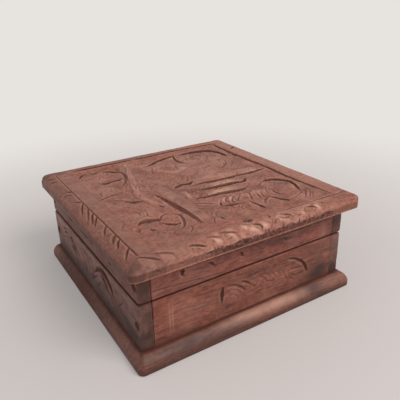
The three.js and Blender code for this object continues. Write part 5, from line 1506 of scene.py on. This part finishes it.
def lid_surface(a, b, c):
    """The carved top of the lid board and its nicked moulding."""
    x, y = a / FIELD_HALF, b / FIELD_HALF
    reach = np.maximum(np.abs(x), np.abs(y))
    raised, pale, foot_shade = np.zeros(np.shape(a)), np.zeros(np.shape(a)), np.zeros(np.shape(a))
    for width, paleness, path in FIELD_RIDGES:
        line = stroke_line(path, FIELD_HALF, 0)
        near, away, left, along, length = beside_line(a, b, line, width)
        to_end = np.minimum(along, length - along)
        half = 0.58 * width
        swell = held(2.2 * (1 - (away / half) ** 2)) * held(to_end / (1.4 * width))
        raised[near] = np.maximum(raised[near], swell)
        pale[near] = np.maximum(pale[near], paleness * swell)
        # Painted shade in the crease along the foot of each raised part
        edge = hump(away - half, 0.35) * held(to_end / width)
        foot_shade[near] = np.maximum(foot_shade[near], edge)
    foot_shade = foot_shade * (1 - raised) * (0.7 + 0.5 * uneven(a, b, 3.0, 98))
    inside = held((FIELD_RISE - reach) / (1 - FIELD_RISE))
    ground = FIELD_SINK * inside * (1 - raised)
    ribs = np.where(uneven(a, b, 16.0, 90) > 0, scooped(a, b, *FIELD_SCOOP, 62, 91),
                    scooped(a, b, *FIELD_SCOOP, -12, 92))
    border_ribs = scooped(a, b, *BORDER_SCOOP, 0, 93)
    tool_marks = 0.10 * uneven(a, b, 2.4, 81) + 0.09 * uneven(a, b, 5.5, 82) + 0.04 * uneven(a, b, 1.2, 83)
    sunk = 0.22 + ground + tool_marks * (0.5 + 0.5 * inside)
    sunk = sunk - 0.28 * ribs * inside * (1 - 0.9 * raised) - 0.08 * border_ribs * (1 - inside)

    cuts = FIELD_CUTS + FIELD_STROKES + FIELD_FANS + chips(FIELD_CHIPS, 94) + BORDER_CUTS
    depth, dirt_and_shade, lip = gouged(a, b, cuts, FIELD_HALF)

    dirt_and_shade = np.maximum(dirt_and_shade, 0.30 * foot_shade * inside)
    worn_and_lit = 0.26 * held(uneven(a, b, 4.0, 84)) * inside + pale * inside
    worn_and_lit = worn_and_lit + 0.26 * held(ribs - 0.35) * inside + 0.6 * lip + blots(x, y, LID_WORN)
    on_front = (y < -1.0) & (c > 1.6)
    slant_cos, slant_sin = PETAL_SLANT
    for place_x, place_y, half_length, half_width, paleness in BORDER_PETALS:
        off_a, off_b = a - place_x * FIELD_HALF, b - place_y * FIELD_HALF
        along, across = slant_cos * off_a - slant_sin * off_b, slant_sin * off_a + slant_cos * off_b
        out = np.hypot(along / half_length, across / half_width) + 0.20 * uneven(a, b, 1.1, 99)
        out = out + 0.18 * uneven(a, b, 2.6, 100)
        # A painted shadow along the back edge of each petal
        rim = hump((out - 1.08) * half_width, 0.22) * held(0.5 + across / half_width)
        petal = paleness * held(1.5 - 1.2 * out) * (0.68 + 0.45 * uneven(a, b, 1.3, 101))
        worn_and_lit = np.maximum(worn_and_lit * (1 - rim * on_front), petal * on_front)
        dirt_and_shade = np.maximum(dirt_and_shade, (0.25 + 0.35 * paleness) * rim * on_front)
        sunk = sunk - 0.13 * held(1.2 - out ** 2) * on_front
    pale_front = on_front * held((x + 0.55) / 0.25) * held((0.90 - x) / 0.1)
    worn_and_lit = worn_and_lit + (0.24 + 0.26 * uneven(a, b, 1.7, 104)) * pale_front
    # Paler over the right border: painted light, where it faces the key lamp
    worn_and_lit = worn_and_lit + 0.22 * (x > 1.0) * held((y + 1.0) / 0.4)

    front_edge = (b < FRONT_PLACE) & (c < FRONT_TOP)
    nicks, nick_dirt_and_shade, nick_lip = gouged(a, c, EDGE_CUTS, 1.0)
    band_top = BAND_TOP + 0.6 * uneven(a, 0 * a, 3.0, 97) + 0.5 * uneven(a, c, 1.2, 102)
    band = held((band_top - c) / 0.9) * held((c - BAND_FOOT) / 0.25)
    band = band * held((a - BAND_ENDS[0]) / 8) * held((BAND_ENDS[1] - a) / 2)
    band = band * (0.95 + 0.65 * uneven(a, c, 0.9, 103))
    depth = np.where(front_edge, np.maximum(depth, nicks), depth)
    dirt_and_shade = np.where(front_edge, np.maximum(dirt_and_shade, np.maximum(nick_dirt_and_shade, 0.46 * band)), dirt_and_shade)
    lower_lip = held((0.45 - c) / 0.15) * front_edge
    specks = 0.8 * band * held(uneven(a, c, 0.8, 105) - 0.15)
    worn_and_lit = np.where(front_edge, worn_and_lit * (1 - band) + 0.35 * lower_lip + 0.45 * nick_lip + specks, worn_and_lit)
    # A painted highlight along the lower edge of the lid's left side
    left_lip_highlight = held((0.9 - c) / 0.4) * (a < -49.5) * held((b + 12) / 20)
    worn_and_lit = worn_and_lit + 0.5 * left_lip_highlight
    dusty = blots(x, y, LID_DUST)
    worn_and_lit = worn_and_lit + dusty
    band_dirt = 0.8 * dusty + band * front_edge * (0.32 + 0.22 * hump(a + 8, 12))
    stain_and_shade = band_dirt + 0.22 * (reach > 1.04) * held((3.4 - c) / 1.2) * (1 - lower_lip)
    # Painted shade in patches on the sunk ground between the raised parts
    dirt_and_shade = np.maximum(dirt_and_shade, 0.40 * held(uneven(a, b, 4.2, 95)) * (1 - raised) * inside)
    stain_and_shade = stain_and_shade + 0.05 * held(uneven(a, b, 9.0, 96)) * inside
    stain_and_shade = stain_and_shade + 0.34 * held((-0.99 - x) / 0.03) + 0.27 * (x > -0.99) * (x < -0.85)
    stain_and_shade = stain_and_shade + blots(x, y, LID_STAINS_AND_SHADE)
    stain_and_shade = stain_and_shade + 0.26 * held((y - 1.0) / 0.04) * held((0.5 - x) / 0.4)
    for number, (spot, open_share) in enumerate(LID_NAILS):
        pit, pit_dirt = nail_pit(a, b, spot, 86 + number)
        depth, dirt_and_shade = np.maximum(depth, open_share * pit), np.maximum(dirt_and_shade, 0.8 * open_share * pit_dirt)
    return sunk + depth, {"dirt_and_shade_mark": dirt_and_shade, "stain_and_shade": stain_and_shade, "worn_and_lit": worn_and_lit}


lid_mesh = flat_board("lid_board", LID_REACH, LID_ROUND, LID_CORNER, LID_BEVEL, LID_CELL, lid_surface, 7)
lid_wood = wood_finish("lid_wood", "X", LID_GRAIN_SHIFT, *LID_TONES, crossing=LID_CROSSING)
as_piece("lid_board", lid_mesh, "lid", lid_wood)
for side in SIDES:
    drive_nail(f"lid_{side}_nail", (0, 0, -1), "lid")
